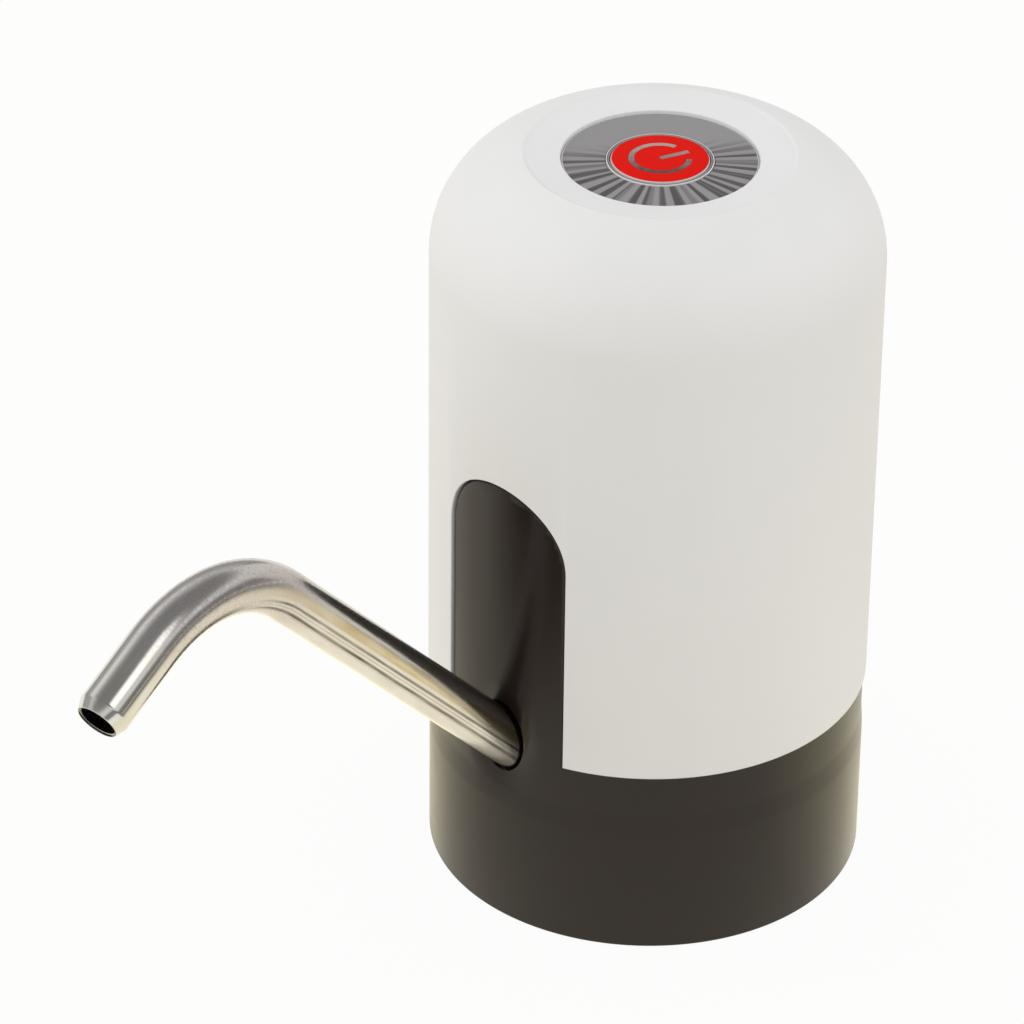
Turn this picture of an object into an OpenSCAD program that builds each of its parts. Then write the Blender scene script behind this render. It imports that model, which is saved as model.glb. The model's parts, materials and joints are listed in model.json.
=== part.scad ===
// Electric water jug pump: a rechargeable gear pump that sits on the neck of a large water bottle.
// Frame: +Z up, origin on the body's axis at the mouth of the neck socket, spout towards -Y.

/* [Outer shell] */
// Outer radius of the shell
shell_r = 36.5; // [36:0.5:42]
// Wall of the shell
shell_wall = 2; // [1.6:0.1:2.4]
// Height of the seam between base and shell
seam_z = 33.6; // [33:0.2:37]
// Height where the shoulder starts to round over
shoulder_z = 110.8; // [109:0.2:125]
// Radius of the rounded shoulder
shoulder_r = 18.3; // [16.5:0.1:20]
// Radius of the crest round the dished top
crest_r = 21.8; // [20.6:0.1:24]
// Step down just inside the crest
crest_step = 0.3; // [0.1:0.05:0.5]
// Drop from the crest to the inner edge of the dished top
dish_drop = 0.95; // [0.6:0.05:1.4]
// Width of the arched front window
window_w = 25; // [22:0.5:28]
// Height of the centre of the window's arch
window_z = 70.3; // [62:0.1:78]
// Radius of the shell's screw columns
column_r = 2.3; // [2.1:0.1:2.3]
// Length of the screw columns
column_len = 29.5; // [24:0.5:36]
// Directions of the screw columns
column_az = [45, 225, 315];

/* [Base] */
// How far the base's skirt lies inside the shell's outer radius
base_inset = 0.2; // [0.1:0.05:0.6]
// How far the band under the seam lies inside the skirt
band_step = 0.25; // [0.1:0.05:0.5]
// Height where the skirt starts to draw in to the band
band_z = 22; // [16:0.5:26]
// Height over which the skirt draws in
band_run = 4; // [2:0.5:6]
// Rounding of the skirt's bottom edge
foot_round = 0.4; // [0.3:0.1:1]
// Wall of the skirt
skirt_wall = 2.1; // [1.8:0.1:2.4]
// Radius of the neck socket
neck_r = 27.75; // [26:0.05:28]
// Wall of the neck socket
neck_wall = 1.8; // [1.5:0.1:2.1]
// Depth of the neck socket
neck_depth = 20; // [18:0.5:20.5]
// Plain land at the mouth of the neck socket
neck_land = 8; // [6:0.5:10]
// Relief behind the neck socket's grip ribs
neck_relief = 0.5; // [0.3:0.1:0.8]
// Number of grip ribs in the neck socket
rib_count = 12; // [8:1:24]
// Width of a grip rib
rib_w = 1.6; // [1:0.1:3]
// Thickness of the floor above the neck socket
floor_t = 2.5; // [2:0.1:3]
// Number of webs between the skirt and the neck wall
web_count = 12; // [8:1:16]
// Thickness of a web or rib
web_t = 1.4; // [1:0.1:2]
// Height of the webs' lower edge
web_z = 4; // [2:0.5:8]
// Wall of the locating ring inside the shell
ring_wall = 1.8; // [1.4:0.1:2.2]
// Height of the locating ring above the seam
ring_h = 3; // [2:0.1:4]
// Gap between the base and the shell
shell_fit = 0.3; // [0.2:0.05:0.5]
// Overlap of the tongue behind the window's edge
tongue_lap = 3; // [2:0.5:5]
// Radius of the dish round the spout's mouth
mouth_dish_r = 30; // [22:1:40]
// Depth of the dish round the spout's mouth
mouth_dish = 1.4; // [0.8:0.1:1.8]

/* [Spout] */
// Outer radius of the spout tube
tube_r = 4.15; // [3.8:0.05:4.4]
// Wall of the spout tube
tube_wall = 0.5; // [0.4:0.05:0.9]
// Rise of the spout's straight run above level
spout_rise = 45.7; // [43:0.1:48]
// Straight run of the spout outside its mouth
spout_run = 70; // [50:0.5:90]
// Turn of the spout about its straight run, as photographed
spout_turn = 7; // [-20:0.5:20]
// Centre-line radius of the spout's bend
bend_r = 26; // [18:0.5:32]
// Angle of the spout's bend
bend_angle = 71.5; // [60:0.1:95]
// Straight nose after the bend
nose_len = 12.4; // [8:0.1:20]
// Length of the drawn-in tip
lip_len = 1.9; // [1:0.1:2.5]
// How far the tip draws in
lip_in = 0.75; // [0.3:0.05:1]
// Height at which the spout's axis meets its mouth
mouth_z = 34.3; // [34:0.1:36]
// Depth of the mouth behind the base's band
mouth_inset = 1.05; // [0.6:0.05:1.3]
// How far the spout goes into its socket
spout_depth = 9.5; // [9:0.1:10]
// Running clearance round the spout
spout_fit = 0.08; // [0.05:0.01:0.1]
// Gap round the spout at its mouth
mouth_gap = 0.45; // [0.3:0.05:0.6]
// Wall of the spout's socket
socket_wall = 2.55; // [2.3:0.05:2.8]
// Depth of the O-ring groove behind the mouth
groove_z = 6.9; // [6.6:0.1:7.2]
// Plain land between the gap at the mouth and the O-ring groove
mouth_land = 1.4; // [1.2:0.1:1.8]
// Radial depth of the O-ring groove outside the spout
groove_t = 1.4; // [1.2:0.05:1.6]
// Clearance round the O-ring
seal_fit = 0.05; // [0.03:0.01:0.08]
// Radius of the chamber under the spout
sump_r = 3; // [2.4:0.1:3.4]
// Length of the chamber under the spout
sump_len = 5; // [4.4:0.1:5.4]

/* [Water path] */
// Bore radius of the ports and spigots
port_r = 1.7; // [1.3:0.1:1.8]
// Outer radius of the hose barbs
barb_r = 2.6; // [2.4:0.05:2.8]
// Length of a hose barb
barb_len = 7.5; // [6:0.1:8]
// Wall of the inner hoses
hose_wall = 1.35; // [1:0.05:1.6]
// Clearance between hose and barb
hose_fit = 0.05; // [0.02:0.01:0.1]
// Gap between a hose's end and the wall behind its barb
hose_gap = 0.4; // [0.2:0.1:0.8]
// Bend radius of the outlet hose
hose_bend = 14; // [10:0.5:15]
// Radius of the inlet nozzle that the bottle's hose pushes onto
nozzle_r = 4; // [3.5:0.1:5]
// Height of the inlet nozzle's mouth
nozzle_z = 9; // [8.5:0.1:12]
// Step at the nozzle's root, where the bottle's hose stops
nozzle_step = 0.4; // [0.2:0.1:0.8]
// Radius of the inlet spigot's flange
flange_r = 9; // [8:0.1:10]
// Thickness of the inlet spigot's flange
flange_t = 2; // [1.5:0.1:3]
// Thickness of the inlet seal
seal_t = 0.9; // [0.6:0.1:1.2]
// Clearance of the inlet nozzle in the floor
nozzle_fit = 0.3; // [0.1:0.05:0.5]

/* [Gear pump] */
// Height of the pump above the base's floor
pump_h = 33.5; // [32.5:0.1:36]
// Distance of the ports from the line of the gear axes
port_off = 5; // [4.6:0.1:5.6]
// Pitch diameter of the gears
gear_d = 11; // [10:0.25:11.5]
// Number of teeth on each gear
gear_z = 10; // [9:1:11]
// Height of the gears
gear_h = 7; // [5:0.1:8]
// Pressure angle of the teeth
gear_angle = 28; // [25:1:30]
// Backlash at the pitch circle
backlash = 0.12; // [0.08:0.01:0.2]
// Clearance between the teeth and the pump body
tip_gap = 0.2; // [0.15:0.01:0.3]
// Clearance on each side of the gears
side_gap = 0.15; // [0.1:0.01:0.2]
// Wall of the pump body round the gears
pump_wall = 4.3; // [4.2:0.1:4.8]
// Thickness of the pump cover
cover_t = 4; // [3:0.1:5]
// Thickness of the cover gasket
gasket_t = 0.4; // [0.3:0.05:0.6]
// Thickness of the motor plate
plate_t = 5; // [4.6:0.1:6]
// Radius of the idler shaft
idler_r = 1.5; // [1.2:0.1:1.8]
// Running clearance of the shafts
shaft_fit = 0.04; // [0.02:0.01:0.06]
// Distance of the pump's mounting posts from the middle
post_x = 20; // [19.6:0.1:21.5]
// Radius of the pump's mounting posts
post_r = 3.2; // [2.8:0.1:3.6]

/* [Motor] */
// Radius of the motor can
motor_r = 12.2; // [11.8:0.1:12.6]
// Length of the motor can
motor_len = 28; // [26:0.5:31]
// Wall of the motor can
can_wall = 0.7; // [0.5:0.05:0.9]
// Radius of the motor shaft
shaft_r = 1.15; // [1:0.05:1.3]
// Radius of the armature
armature_r = 8.1; // [7.6:0.1:8.3]
// Length of the armature's plates
armature_len = 14; // [12:0.5:15]
// Air gap between the armature and the magnets
air_gap = 0.5; // [0.4:0.05:0.7]
// Radius of the commutator
commutator_r = 2.8; // [2.5:0.05:3.1]
// Radius of the bushes
bush_r = 3; // [2.6:0.1:3.2]
// Length of the bushes
bush_len = 3.6; // [3:0.1:3.9]
// Thickness of the end cap
cap_t = 3; // [2.5:0.1:4]
// Distance of the motor screws from the shaft
motor_screw_d = 9; // [8.8:0.05:9.2]

/* [Battery] */
// Distance of the cell's near side from the body's axis
cell_near = 14.2; // [14:0.1:15]
// Length of the cell
cell_len = 65; // [60:0.5:67]
// Direction of the cell from the axis
cell_az = 153.5; // [152:0.5:158]
// Wall of the cradle
cradle_wall = 1; // [0.8:0.1:1.2]
// Gap between the cell and the cradle
cradle_fit = 0.2; // [0.1:0.05:0.3]
// Gap between the cradle and the shell
cradle_gap = 0.5; // [0.3:0.1:0.6]
// Height of the cradle's wall
cradle_h = 46; // [30:1:56]
// How far the cradle's foot lies inside the cell's radius
foot_inset = 1.8; // [1.4:0.1:2.8]
// Opening of the cradle's wall
cradle_open = 130; // [110:5:150]
// Thickness of the battery tabs
tab_t = 0.3; // [0.2:0.05:0.4]
// Width of the battery tabs
tab_w = 5; // [4:0.5:6]

/* [Main board] */
// Height of the board's posts
board_h = 17.9; // [17.5:0.1:22]
// Thickness of the boards
board_t = 1.6; // [1:0.1:2]
// Left edge of the main board
board_left = -8.5; // [-9:0.1:-7]
// Right edge of the main board
board_right = 15.5; // [14:0.1:17]
// Front edge of the main board
board_front = 14; // [13.6:0.1:14.6]
// Gap between the main board and the shell
board_gap = 1.1; // [0.8:0.1:1.4]
// Width of the charging socket
usb_w = 7.6; // [7.2:0.1:8]
// Height of the charging socket
usb_h = 2.7; // [2.5:0.1:3]
// Length of the charging socket
usb_len = 5.6; // [5.2:0.1:6.2]
// Wall of the charging socket
usb_wall = 0.3; // [0.2:0.05:0.4]
// Depth of the charging socket behind the shell's surface
usb_inset = 0.9; // [0.6:0.1:1.2]
// Gap round the charging socket
usb_gap = 0.4; // [0.2:0.05:0.6]
// Margin of the recess round the charging socket
usb_margin = 1.8; // [1.2:0.1:2.4]
// Depth of the recess round the charging socket
usb_recess = 0.8; // [0.4:0.1:1]

/* [Button and label] */
// Radius of the label plate
label_r = 15.6; // [14:0.1:16.5]
// Thickness of the label plate
label_t = 0.5; // [0.3:0.05:0.8]
// Gap round the label plate
label_gap = 0.2; // [0.1:0.05:0.3]
// Depth of the label below the edge of its well
label_recess = 0.5; // [0.2:0.05:0.7]
// Radius of the button cap
button_r = 7.9; // [7:0.1:8.2]
// Height of the button cap above the label
button_rise = 0.35; // [0.1:0.05:0.6]
// Gap round the button cap
button_gap = 0.15; // [0.1:0.01:0.25]
// Travel of the button
button_travel = 0.4; // [0.25:0.05:0.5]
// Wall of the button cap
button_wall = 1.4; // [1:0.1:1.8]
// Width of the light ring
light_w = 0.55; // [0.5:0.05:1.2]
// Height of the light ring above the label
light_rise = 0.15; // [0:0.05:0.3]
// Gap round the light ring
light_gap = 0.1; // [0.05:0.01:0.2]
// Thickness of the light ring's and the button's flanges
lug_t = 1.1; // [0.8:0.05:1.4]
// Width of the light ring's flange under the shell
light_lug = 1.3; // [1:0.1:1.5]
// Middle radius of the power symbol
symbol_r = 4.6; // [3.8:0.1:4.8]
// Width of the power symbol's stroke
symbol_w = 0.9; // [0.6:0.05:1.2]
// Opening of the power symbol's ring
symbol_open = 62; // [40:1:80]
// Direction of the power symbol's bar
symbol_az = 70; // [0:1:360]
// Depth of the power symbol's inlay
symbol_t = 0.3; // [0.2:0.05:0.5]
// Width of the tact switch
switch_w = 6; // [5.6:0.1:6.4]
// Height of the tact switch
switch_h = 3.4; // [3:0.1:4]
// Radius of the tact switch's plunger
plunger_r = 1.75; // [1.4:0.05:2]
// Height of the plunger above the tact switch
plunger_h = 1; // [0.8:0.05:1.4]
// Radius of the button board
panel_r = 15.5; // [15:0.1:17]
// Distance of the button board's posts from the axis
panel_post_d = 13; // [12.8:0.1:13.6]
// Radius of the button board's posts
panel_post_r = 2; // [1.8:0.05:2.1]

/* [Fasteners and leads] */
// Radius of the screws' shanks
screw_r = 1.15; // [1:0.05:1.2]
// Radius of the screws' heads
head_r = 1.95; // [1.8:0.05:2]
// Height of the screws' heads
head_h = 1.5; // [1.2:0.1:1.6]
// Gap between a screw's shank and its pilot hole
screw_fit = 0.03; // [0.02:0.01:0.05]
// Gap between a screw's shank and a clearance hole
screw_gap = 0.15; // [0.1:0.01:0.2]
// Depth of the shell screws in the columns
shell_bite = 10; // [8:0.5:12]
// Radius of the leads
lead_r = 0.65; // [0.5:0.05:0.75]

/* [Hidden] */
$fn = 96;
eps = 0.01;
over = 1;

// Heights and radii of the shell
shell_in = shell_r - shell_wall;
shoulder_d = shell_r - shoulder_r;
crest_z = shoulder_z + sqrt(pow(shoulder_r, 2) - pow(crest_r - shoulder_d, 2));
well_z = crest_z - dish_drop;
well_r = label_r + label_gap;
label_z = well_z - label_recess;
roof_z = label_z - label_t;
ceiling_z = roof_z - shell_wall;

// Radii and heights of the base
base_r = shell_r - base_inset;
band_r = base_r - band_step;
skirt_in = base_r - skirt_wall;
neck_out = neck_r + neck_wall + neck_relief;
floor_z = neck_depth + floor_t;
ring_out = shell_in - shell_fit;
ring_in = ring_out - ring_wall;
ring_z = seam_z + ring_h;
ring_root = seam_z - 2 * ring_wall;
column_gap = 0.2;
column_d = skirt_in - column_gap - column_r;
notch_gap = 0.4;
boss_wall = 1;

// How far a bend reaches into the straight runs beside it, and how much thinner it is there
bend_lap = 0.3;
bend_thin = 0.05;

// Spout socket
mouth_r = band_r - mouth_inset;
socket_r = tube_r + socket_wall;
groove_r = tube_r + groove_t;
seal_r = (groove_t - 2 * seal_fit) / 2;
groove_w = 2 * seal_r + 2 * seal_fit;
port_z = spout_depth + sump_len / 2;
socket_end = 1.5;

// Root of the inlet nozzle in the floor
root_r = nozzle_r + nozzle_step;
root_z = neck_depth - 0.5;
root_hole = root_r + nozzle_fit;

// Outlet hose: straight from the socket's barb, then one bend up to the pump's outlet
hose_in = barb_r + hose_fit;
hose_out = hose_in + hose_wall;
outlet_y = -2 * port_off;
socket_y = -mouth_r + port_z * cos(spout_rise);
socket_z = mouth_z - port_z * sin(spout_rise);
hose_turn_y = outlet_y - hose_bend * (1 - cos(spout_rise));
hose_turn_d = (hose_turn_y - socket_y) / sin(spout_rise);
hose_top_z = socket_z + hose_turn_d * cos(spout_rise) + hose_bend * sin(spout_rise);

// Gear pump and motor stack
gear_m = gear_d / gear_z;
gear_pitch = gear_d / 2;
gear_tip = gear_pitch + 0.9 * gear_m;
gear_root = gear_pitch - 1.2 * gear_m;
gear_base = gear_pitch * cos(gear_angle);
gear_steps = 5;
drive = [gear_pitch, -port_off];
driven = [-gear_pitch, -port_off];
cavity_r = gear_tip + tip_gap;
pump_r = cavity_r + pump_wall;
pump_screw_d = cavity_r + pump_wall / 2;
pump_z = floor_z + pump_h;
cover_z = pump_z + cover_t;
plate_z = cover_z + gear_h + 2 * side_gap;
body_t = plate_z - cover_z - gasket_t;
motor_z = plate_z + plate_t;
seal_pocket_r = 3.8;
seal_pocket_t = 3.4;
pocket_r = port_r + 0.5;
ear_r = post_r + 0.8;
post_bite = 12;

can_in = motor_r - can_wall;
can_front = 1.2;
bush_wall = 1.4;
cap_z = motor_z + motor_len;
magnet_in = armature_r + air_gap;
magnet_gap = 0.2;
magnet_end = 0.6;
pole_w = 2.6;
shoe_t = 1.5;
coil_over = 1.7;
coil_gap = 0.1;
coil_t = 1.5;
hub_wall = 2;
spin_gap = 1.2;
armature_z = motor_z + can_front + bush_len + coil_over + spin_gap;
commutator_z = armature_z + armature_len + coil_over + 0.7;
commutator_len = 3.8;
brush_t = 0.4;
brush_h = 1.6;
brush_gap = 0.05;
brush_x = commutator_r + brush_gap;
brush_z = commutator_z + 1.1;
brush_back = 4;
terminal_y = 8.5;
terminal_w = 1.6;
terminal_t = 0.5;
terminal_top = 4;
cap_boss = 2;
shaft_lead = 0.3;

// Battery and its cradle
cell_r = (shell_in - cradle_gap - cradle_wall - cradle_fit - cell_near) / 2;
cell_d = cell_near + cell_r;
foot_r = cell_r - foot_inset;
cell_pos = cell_d * [cos(cell_az), sin(cell_az)];
cradle_z = ring_z + over;
cradle_in = cell_r + cradle_fit;
cradle_out = cradle_in + cradle_wall;
cradle_floor = 1.4;
cell_z = cradle_z + cradle_floor + tab_t;
cap_r = 3.3;
cap_h = 0.8;
tab_az = 10;
tab_reach = cradle_out + 3;
tab_tip = cell_pos + (tab_reach - 2 * lead_r) * [cos(tab_az), sin(tab_az)];

// Main board and charging socket
board_z = floor_z + board_h;
board_top = board_z + board_t;
board_r = shell_in - board_gap;
board_post_r = 2.4;
board_post_in = 3.5;
board_post_back = 6.2;
board_post_x = board_right - board_post_in;
board_posts = [
  [board_left + board_post_in, board_front + board_post_in],
  [board_post_x, sqrt(pow(board_r, 2) - pow(board_post_x, 2)) - board_post_back]
];
usb_y = shell_r - usb_inset;
usb_z = board_top + usb_h / 2;

// Button, light ring and button board
button_z = label_z + button_rise;
light_in = button_r + button_gap;
light_out = light_in + light_w;
light_hole = light_out + light_gap;
light_z = ceiling_z - lug_t;
lug_gap = 0.1;
lug_z = light_z - lug_gap - lug_t;
lug_r = light_in + 0.7;
panel_top = lug_z - switch_h - plunger_h;
panel_z = panel_top - board_t;
stem_r = plunger_r + 0.5;
button_top_t = 1.8;

// Lead routes, each a short list of points chosen by hand between its two ends
lead_sides = 8;
lead_lift = 2;
bus_y = 18;
pad_y = board_front + 1.2;
battery_lead_x = [-3.2, -0.6];
pump_lead_x = [2.4, 5.2];
switch_lead_x = [7.6, 9.2, 10.8];

// Shared shapes

// A ring between two radii, standing on z
module ring(outer, inner, height, z = 0) {
  translate([0, 0, z]) difference() {
    cylinder(r = outer, h = height);
    translate([0, 0, -over]) cylinder(r = inner, h = height + 2 * over);
  }
}

// A solid cylinder between two heights
module post(radius, low, high) {
  translate([0, 0, low]) cylinder(r = radius, h = high - low);
}

// The spout's own frame: origin at its mouth, +Z out along its axis, +Y up and inwards
module at_spout() {
  translate([0, -mouth_r, mouth_z]) rotate([90 - spout_rise, 0, 0]) children();
}

// One copy at each screw column
module at_columns() {
  for (az = column_az)
    rotate([0, 0, az]) translate([column_d, 0, 0]) children();
}

// One copy at each pump screw
module at_pump_screws() {
  reach = pump_screw_d * cos(45);
  for (sx = [-1, 1], sy = [-1, 1])
    translate([sx * (gear_pitch + reach), -port_off + sy * reach, 0]) children();
}

// One copy at each of the pump's mounting ears
module at_ears() {
  for (sx = [-1, 1])
    translate([sx * post_x, -port_off, 0]) children();
}

// One copy at each motor screw
module at_motor_screws() {
  for (sy = [-1, 1])
    translate([drive.x, drive.y + sy * motor_screw_d, 0]) children();
}

// One copy at each of the button board's posts
module at_panel_posts() {
  for (az = [30, 150, 270])
    rotate([0, 0, az]) translate([panel_post_d, 0, 0]) children();
}

// One copy at each of the main board's posts
module at_board_posts() {
  for (p = board_posts)
    translate([p.x, p.y, 0]) children();
}

// Moves its children onto the motor's axis
module at_motor() {
  translate([drive.x, drive.y, 0]) children();
}

// A pan-head screw with a cross recess; its head sits on z = 0 and its shank runs up +Z
module screw(length) {
  slot_w = 0.5;
  difference() {
    union() {
      post(screw_r, -head_h / 2, length);
      post(head_r, -head_h, 0);
    }
    for (turn = [0, 90])
      rotate([0, 0, turn])
        translate([-0.65 * head_r, -slot_w / 2, -head_h - over])
          cube([1.3 * head_r, slot_w, over + 0.55 * head_h]);
  }
}

// A rectangle with round corners
module round_rect(width, height, radius) {
  square([width - 2 * radius, height], center = true);
  square([width, height - 2 * radius], center = true);
  for (sx = [-1, 1], sy = [-1, 1])
    translate([sx * (width / 2 - radius), sy * (height / 2 - radius)]) circle(r = radius);
}

// An arch outline of the given half width, from the given foot height up
module arch_outline(half, foot) {
  translate([-half, foot]) square([2 * half, window_z - foot]);
  translate([0, window_z]) circle(r = half);
}

// An arch-shaped prism through the front of the body
module arch_block(half, foot) {
  rotate([90, 0, 0]) linear_extrude(shell_r + over) arch_outline(half, foot);
}

// A hose or barb bore along +Z: a tube with its own bore
module pipe(outer, inner, length) {
  difference() {
    cylinder(r = outer, h = length);
    translate([0, 0, -over]) cylinder(r = inner, h = length + 2 * over);
  }
}

// A round rod bent in the YZ plane, centred on the bend's axis: it starts on +Y and turns towards -Y.
// It reaches a little into the straight runs at both ends and is slightly thinner, as a drawn bend is.
module bent_rod(rod_r, radius, angle) {
  reach = bend_lap * 180 / (PI * radius);
  rotate([90, 0, 90]) rotate([0, 0, -reach]) rotate_extrude(angle = angle + 2 * reach)
    translate([radius, 0]) circle(r = rod_r - bend_thin);
}

// Sweeps a round lead through points; ring planes follow the path and the end rings are square to it
function unit(v) = v / norm(v);
function heading(path, i) =
  i == 0 ? unit(path[1] - path[0]) :
  i == len(path) - 1 ? unit(path[i] - path[i - 1]) :
  unit(unit(path[i + 1] - path[i]) + unit(path[i] - path[i - 1]));
function lead_ring(path, i) =
  let (t = heading(path, i))
  let (a = unit(cross(t, [1, 0.13, 0.07])))
  let (b = cross(t, a))
  [for (k = [0 : lead_sides - 1])
    path[i] + lead_r * (cos(360 * k / lead_sides) * a + sin(360 * k / lead_sides) * b)];
module lead(path) {
  rings = len(path);
  pts = [for (i = [0 : rings - 1]) each lead_ring(path, i)];
  sides = [for (i = [0 : rings - 2], k = [0 : lead_sides - 1])
    let (n = (k + 1) % lead_sides, low = i * lead_sides, high = low + lead_sides)
    each [[low + k, high + k, low + n], [low + n, high + k, high + n]]];
  start = [for (k = [1 : lead_sides - 2]) [0, k, k + 1]];
  last = (rings - 1) * lead_sides;
  finish = [for (k = [1 : lead_sides - 2]) [last, last + k + 1, last + k]];
  polyhedron(pts, concat(start, sides, finish));
}

// Outer shell

// Outside of the shell's section: wall, rounded shoulder and dished top
module shell_outside() {
  difference() {
    union() {
      translate([0, seam_z]) square([shell_r, shoulder_z - seam_z]);
      intersection() {
        translate([shoulder_d, shoulder_z]) circle(r = shoulder_r);
        translate([0, shoulder_z - over]) square([shell_r, shoulder_r + over]);
      }
      translate([0, shoulder_z - over]) square([shoulder_d, shoulder_r + over]);
    }
    polygon([
      [-over, well_z], [well_r, well_z], [crest_r, crest_z - crest_step],
      [crest_r, crest_z + shoulder_r], [-over, crest_z + shoulder_r]
    ]);
  }
}

// Inside of the shell's section
module shell_inside() {
  translate([0, seam_z - over]) square([shell_in, shoulder_z - seam_z + over]);
  intersection() {
    union() {
      translate([shoulder_d, shoulder_z]) circle(r = shoulder_r - shell_wall);
      translate([0, shoulder_z - over]) square([shoulder_d, shoulder_r]);
    }
    translate([0, shoulder_z - over]) square([shell_in, ceiling_z - shoulder_z + over]);
  }
}

module outer_shell() {
  color("whitesmoke") difference() {
    union() {
      rotate_extrude() difference() {
        shell_outside();
        shell_inside();
      }
      at_columns() {
        post(column_r, floor_z, floor_z + column_len);
        translate([0, -web_t / 2, ring_z + notch_gap])
          cube([shell_in + shell_wall / 2 - column_d, web_t, floor_z + column_len - ring_z - notch_gap]);
      }
      at_panel_posts() post(panel_post_r, panel_top, ceiling_z + eps);
    }
    arch_block(window_w / 2, seam_z - over);
    post(well_r, roof_z, crest_z + over);
    post(light_hole, ceiling_z - over, crest_z + over);
    at_columns() post(screw_r + screw_fit, floor_z - over, floor_z + shell_bite + over);
    at_panel_posts() post(screw_r + screw_fit, panel_top - over, ceiling_z - over);
    translate([0, shell_r + over, usb_z]) rotate([90, 0, 0]) {
      linear_extrude(2 * over + shell_wall + over)
        round_rect(usb_w + 2 * usb_gap, usb_h + 2 * usb_gap, usb_h / 2);
      linear_extrude(over + usb_recess)
        round_rect(usb_w + 2 * usb_margin, usb_h + 2 * usb_margin, usb_h / 2);
    }
  }
}

// Base housing

// Section of the base: skirt, band, locating ring, floor and neck wall
module base_section() {
  translate([skirt_in, foot_round]) square([skirt_wall, band_z - foot_round]);
  translate([skirt_in, 0]) square([skirt_wall - foot_round, foot_round + over]);
  intersection() {
    translate([base_r - foot_round, foot_round]) circle(r = foot_round);
    translate([base_r - foot_round, 0]) square([foot_round, foot_round]);
  }
  polygon([
    [skirt_in, band_z - eps], [base_r, band_z - eps], [base_r, band_z], [band_r, band_z + band_run],
    [band_r, seam_z], [ring_out, seam_z], [ring_out, ring_z], [ring_in, ring_z],
    [ring_in, ring_root], [skirt_in, ring_root - ring_wall]
  ]);
  translate([0, neck_depth]) square([skirt_in + eps, floor_t]);
  translate([neck_r + neck_relief, neck_land - over])
    square([neck_wall, neck_depth - neck_land + over + eps]);
  translate([neck_r, 0]) square([neck_wall + neck_relief, neck_land]);
}

// Webs between the skirt and the neck wall, clear of the screw bosses
module groove_webs() {
  for (i = [0 : web_count - 1])
    rotate([0, 0, 360 * i / web_count])
      translate([neck_out - eps, -web_t / 2, web_z])
        cube([skirt_in - neck_out + 2 * eps, web_t, neck_depth - web_z + eps]);
}

// Ribs that grip the bottle's neck, above the plain land
module grip_ribs() {
  for (i = [0 : rib_count - 1])
    rotate([0, 0, 360 * (i + 0.5) / rib_count])
      translate([neck_r + eps, -rib_w / 2, neck_land - eps])
        cube([neck_relief + eps, rib_w, neck_depth - neck_land + 2 * eps]);
}

// The tongue behind the window, and the pad on it that fills the window
module tongue() {
  top = window_z + window_w / 2 + tongue_lap + over;
  intersection() {
    ring(ring_out, ring_in, top - ring_root, ring_root);
    arch_block(window_w / 2 + tongue_lap, ring_root);
  }
  intersection() {
    ring(band_r, ring_out - eps, top - seam_z + over, seam_z - over);
    arch_block(window_w / 2 - shell_fit, seam_z - over);
  }
}

// Solid of the spout's socket with its hose barb
module spout_socket() {
  socket_len = spout_depth + sump_len + socket_end;
  intersection() {
    at_spout() {
      translate([0, 0, -socket_len]) cylinder(r = socket_r, h = socket_len);
      translate([0, 0, -port_z]) rotate([-90, 0, 0]) cylinder(r = barb_r, h = socket_r + barb_len);
    }
    post(ring_out - eps, neck_depth, shoulder_z);
  }
}

// Everything cut along the spout's axis: mouth, running bore, O-ring groove, sump and port
module spout_bores() {
  at_spout() {
    translate([0, 0, -spout_depth]) cylinder(r = tube_r + spout_fit, h = spout_depth + socket_r);
    translate([0, 0, mouth_land - groove_z]) cylinder(r = tube_r + mouth_gap, h = groove_z + socket_r);
    translate([0, 0, -groove_z - groove_w]) cylinder(r = groove_r, h = groove_w);
    translate([0, 0, -spout_depth - sump_len]) cylinder(r = sump_r, h = sump_len + eps);
    translate([0, 0, -port_z]) rotate([-90, 0, 0]) cylinder(r = port_r, h = socket_r + barb_len + over);
  }
}

// Posts for the pump and the main board, with webs that tie the pump's posts to the skirt
module base_posts() {
  at_ears() post(post_r, floor_z - eps, pump_z);
  for (sx = [-1, 1])
    translate([sx > 0 ? post_x : -skirt_in, -port_off - web_t / 2, floor_z - eps])
      cube([skirt_in - post_x, web_t, ring_root - floor_z]);
  at_board_posts() post(board_post_r, floor_z - eps, board_z);
}

module base_housing() {
  mouth_dish_y = -band_r + mouth_dish - mouth_dish_r;
  color("#38322d") difference() {
    union() {
      rotate_extrude() base_section();
      groove_webs();
      grip_ribs();
      at_columns() post(head_r + screw_gap + boss_wall, web_z, neck_depth + eps);
      tongue();
      spout_socket();
      base_posts();
    }
    spout_bores();
    translate([0, mouth_dish_y, mouth_z]) sphere(r = mouth_dish_r);
    at_columns() {
      post(head_r + screw_gap, web_z - over, neck_depth);
      post(screw_r + screw_gap, neck_depth - over, floor_z + over);
      post(column_r + notch_gap, floor_z, ring_z + over);
    }
    at_ears() post(screw_r + screw_fit, pump_z - post_bite - over, pump_z + over);
    at_board_posts() post(screw_r + screw_fit, board_z - shell_bite, board_z + over);
    post(root_hole, neck_depth - over, floor_z + over);
    post(flange_r - over, floor_z - seal_t, floor_z + over);
  }
}

module shell_screws() {
  color("silver") at_columns() translate([0, 0, neck_depth]) screw(floor_t + shell_bite);
}

// Spout

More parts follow.
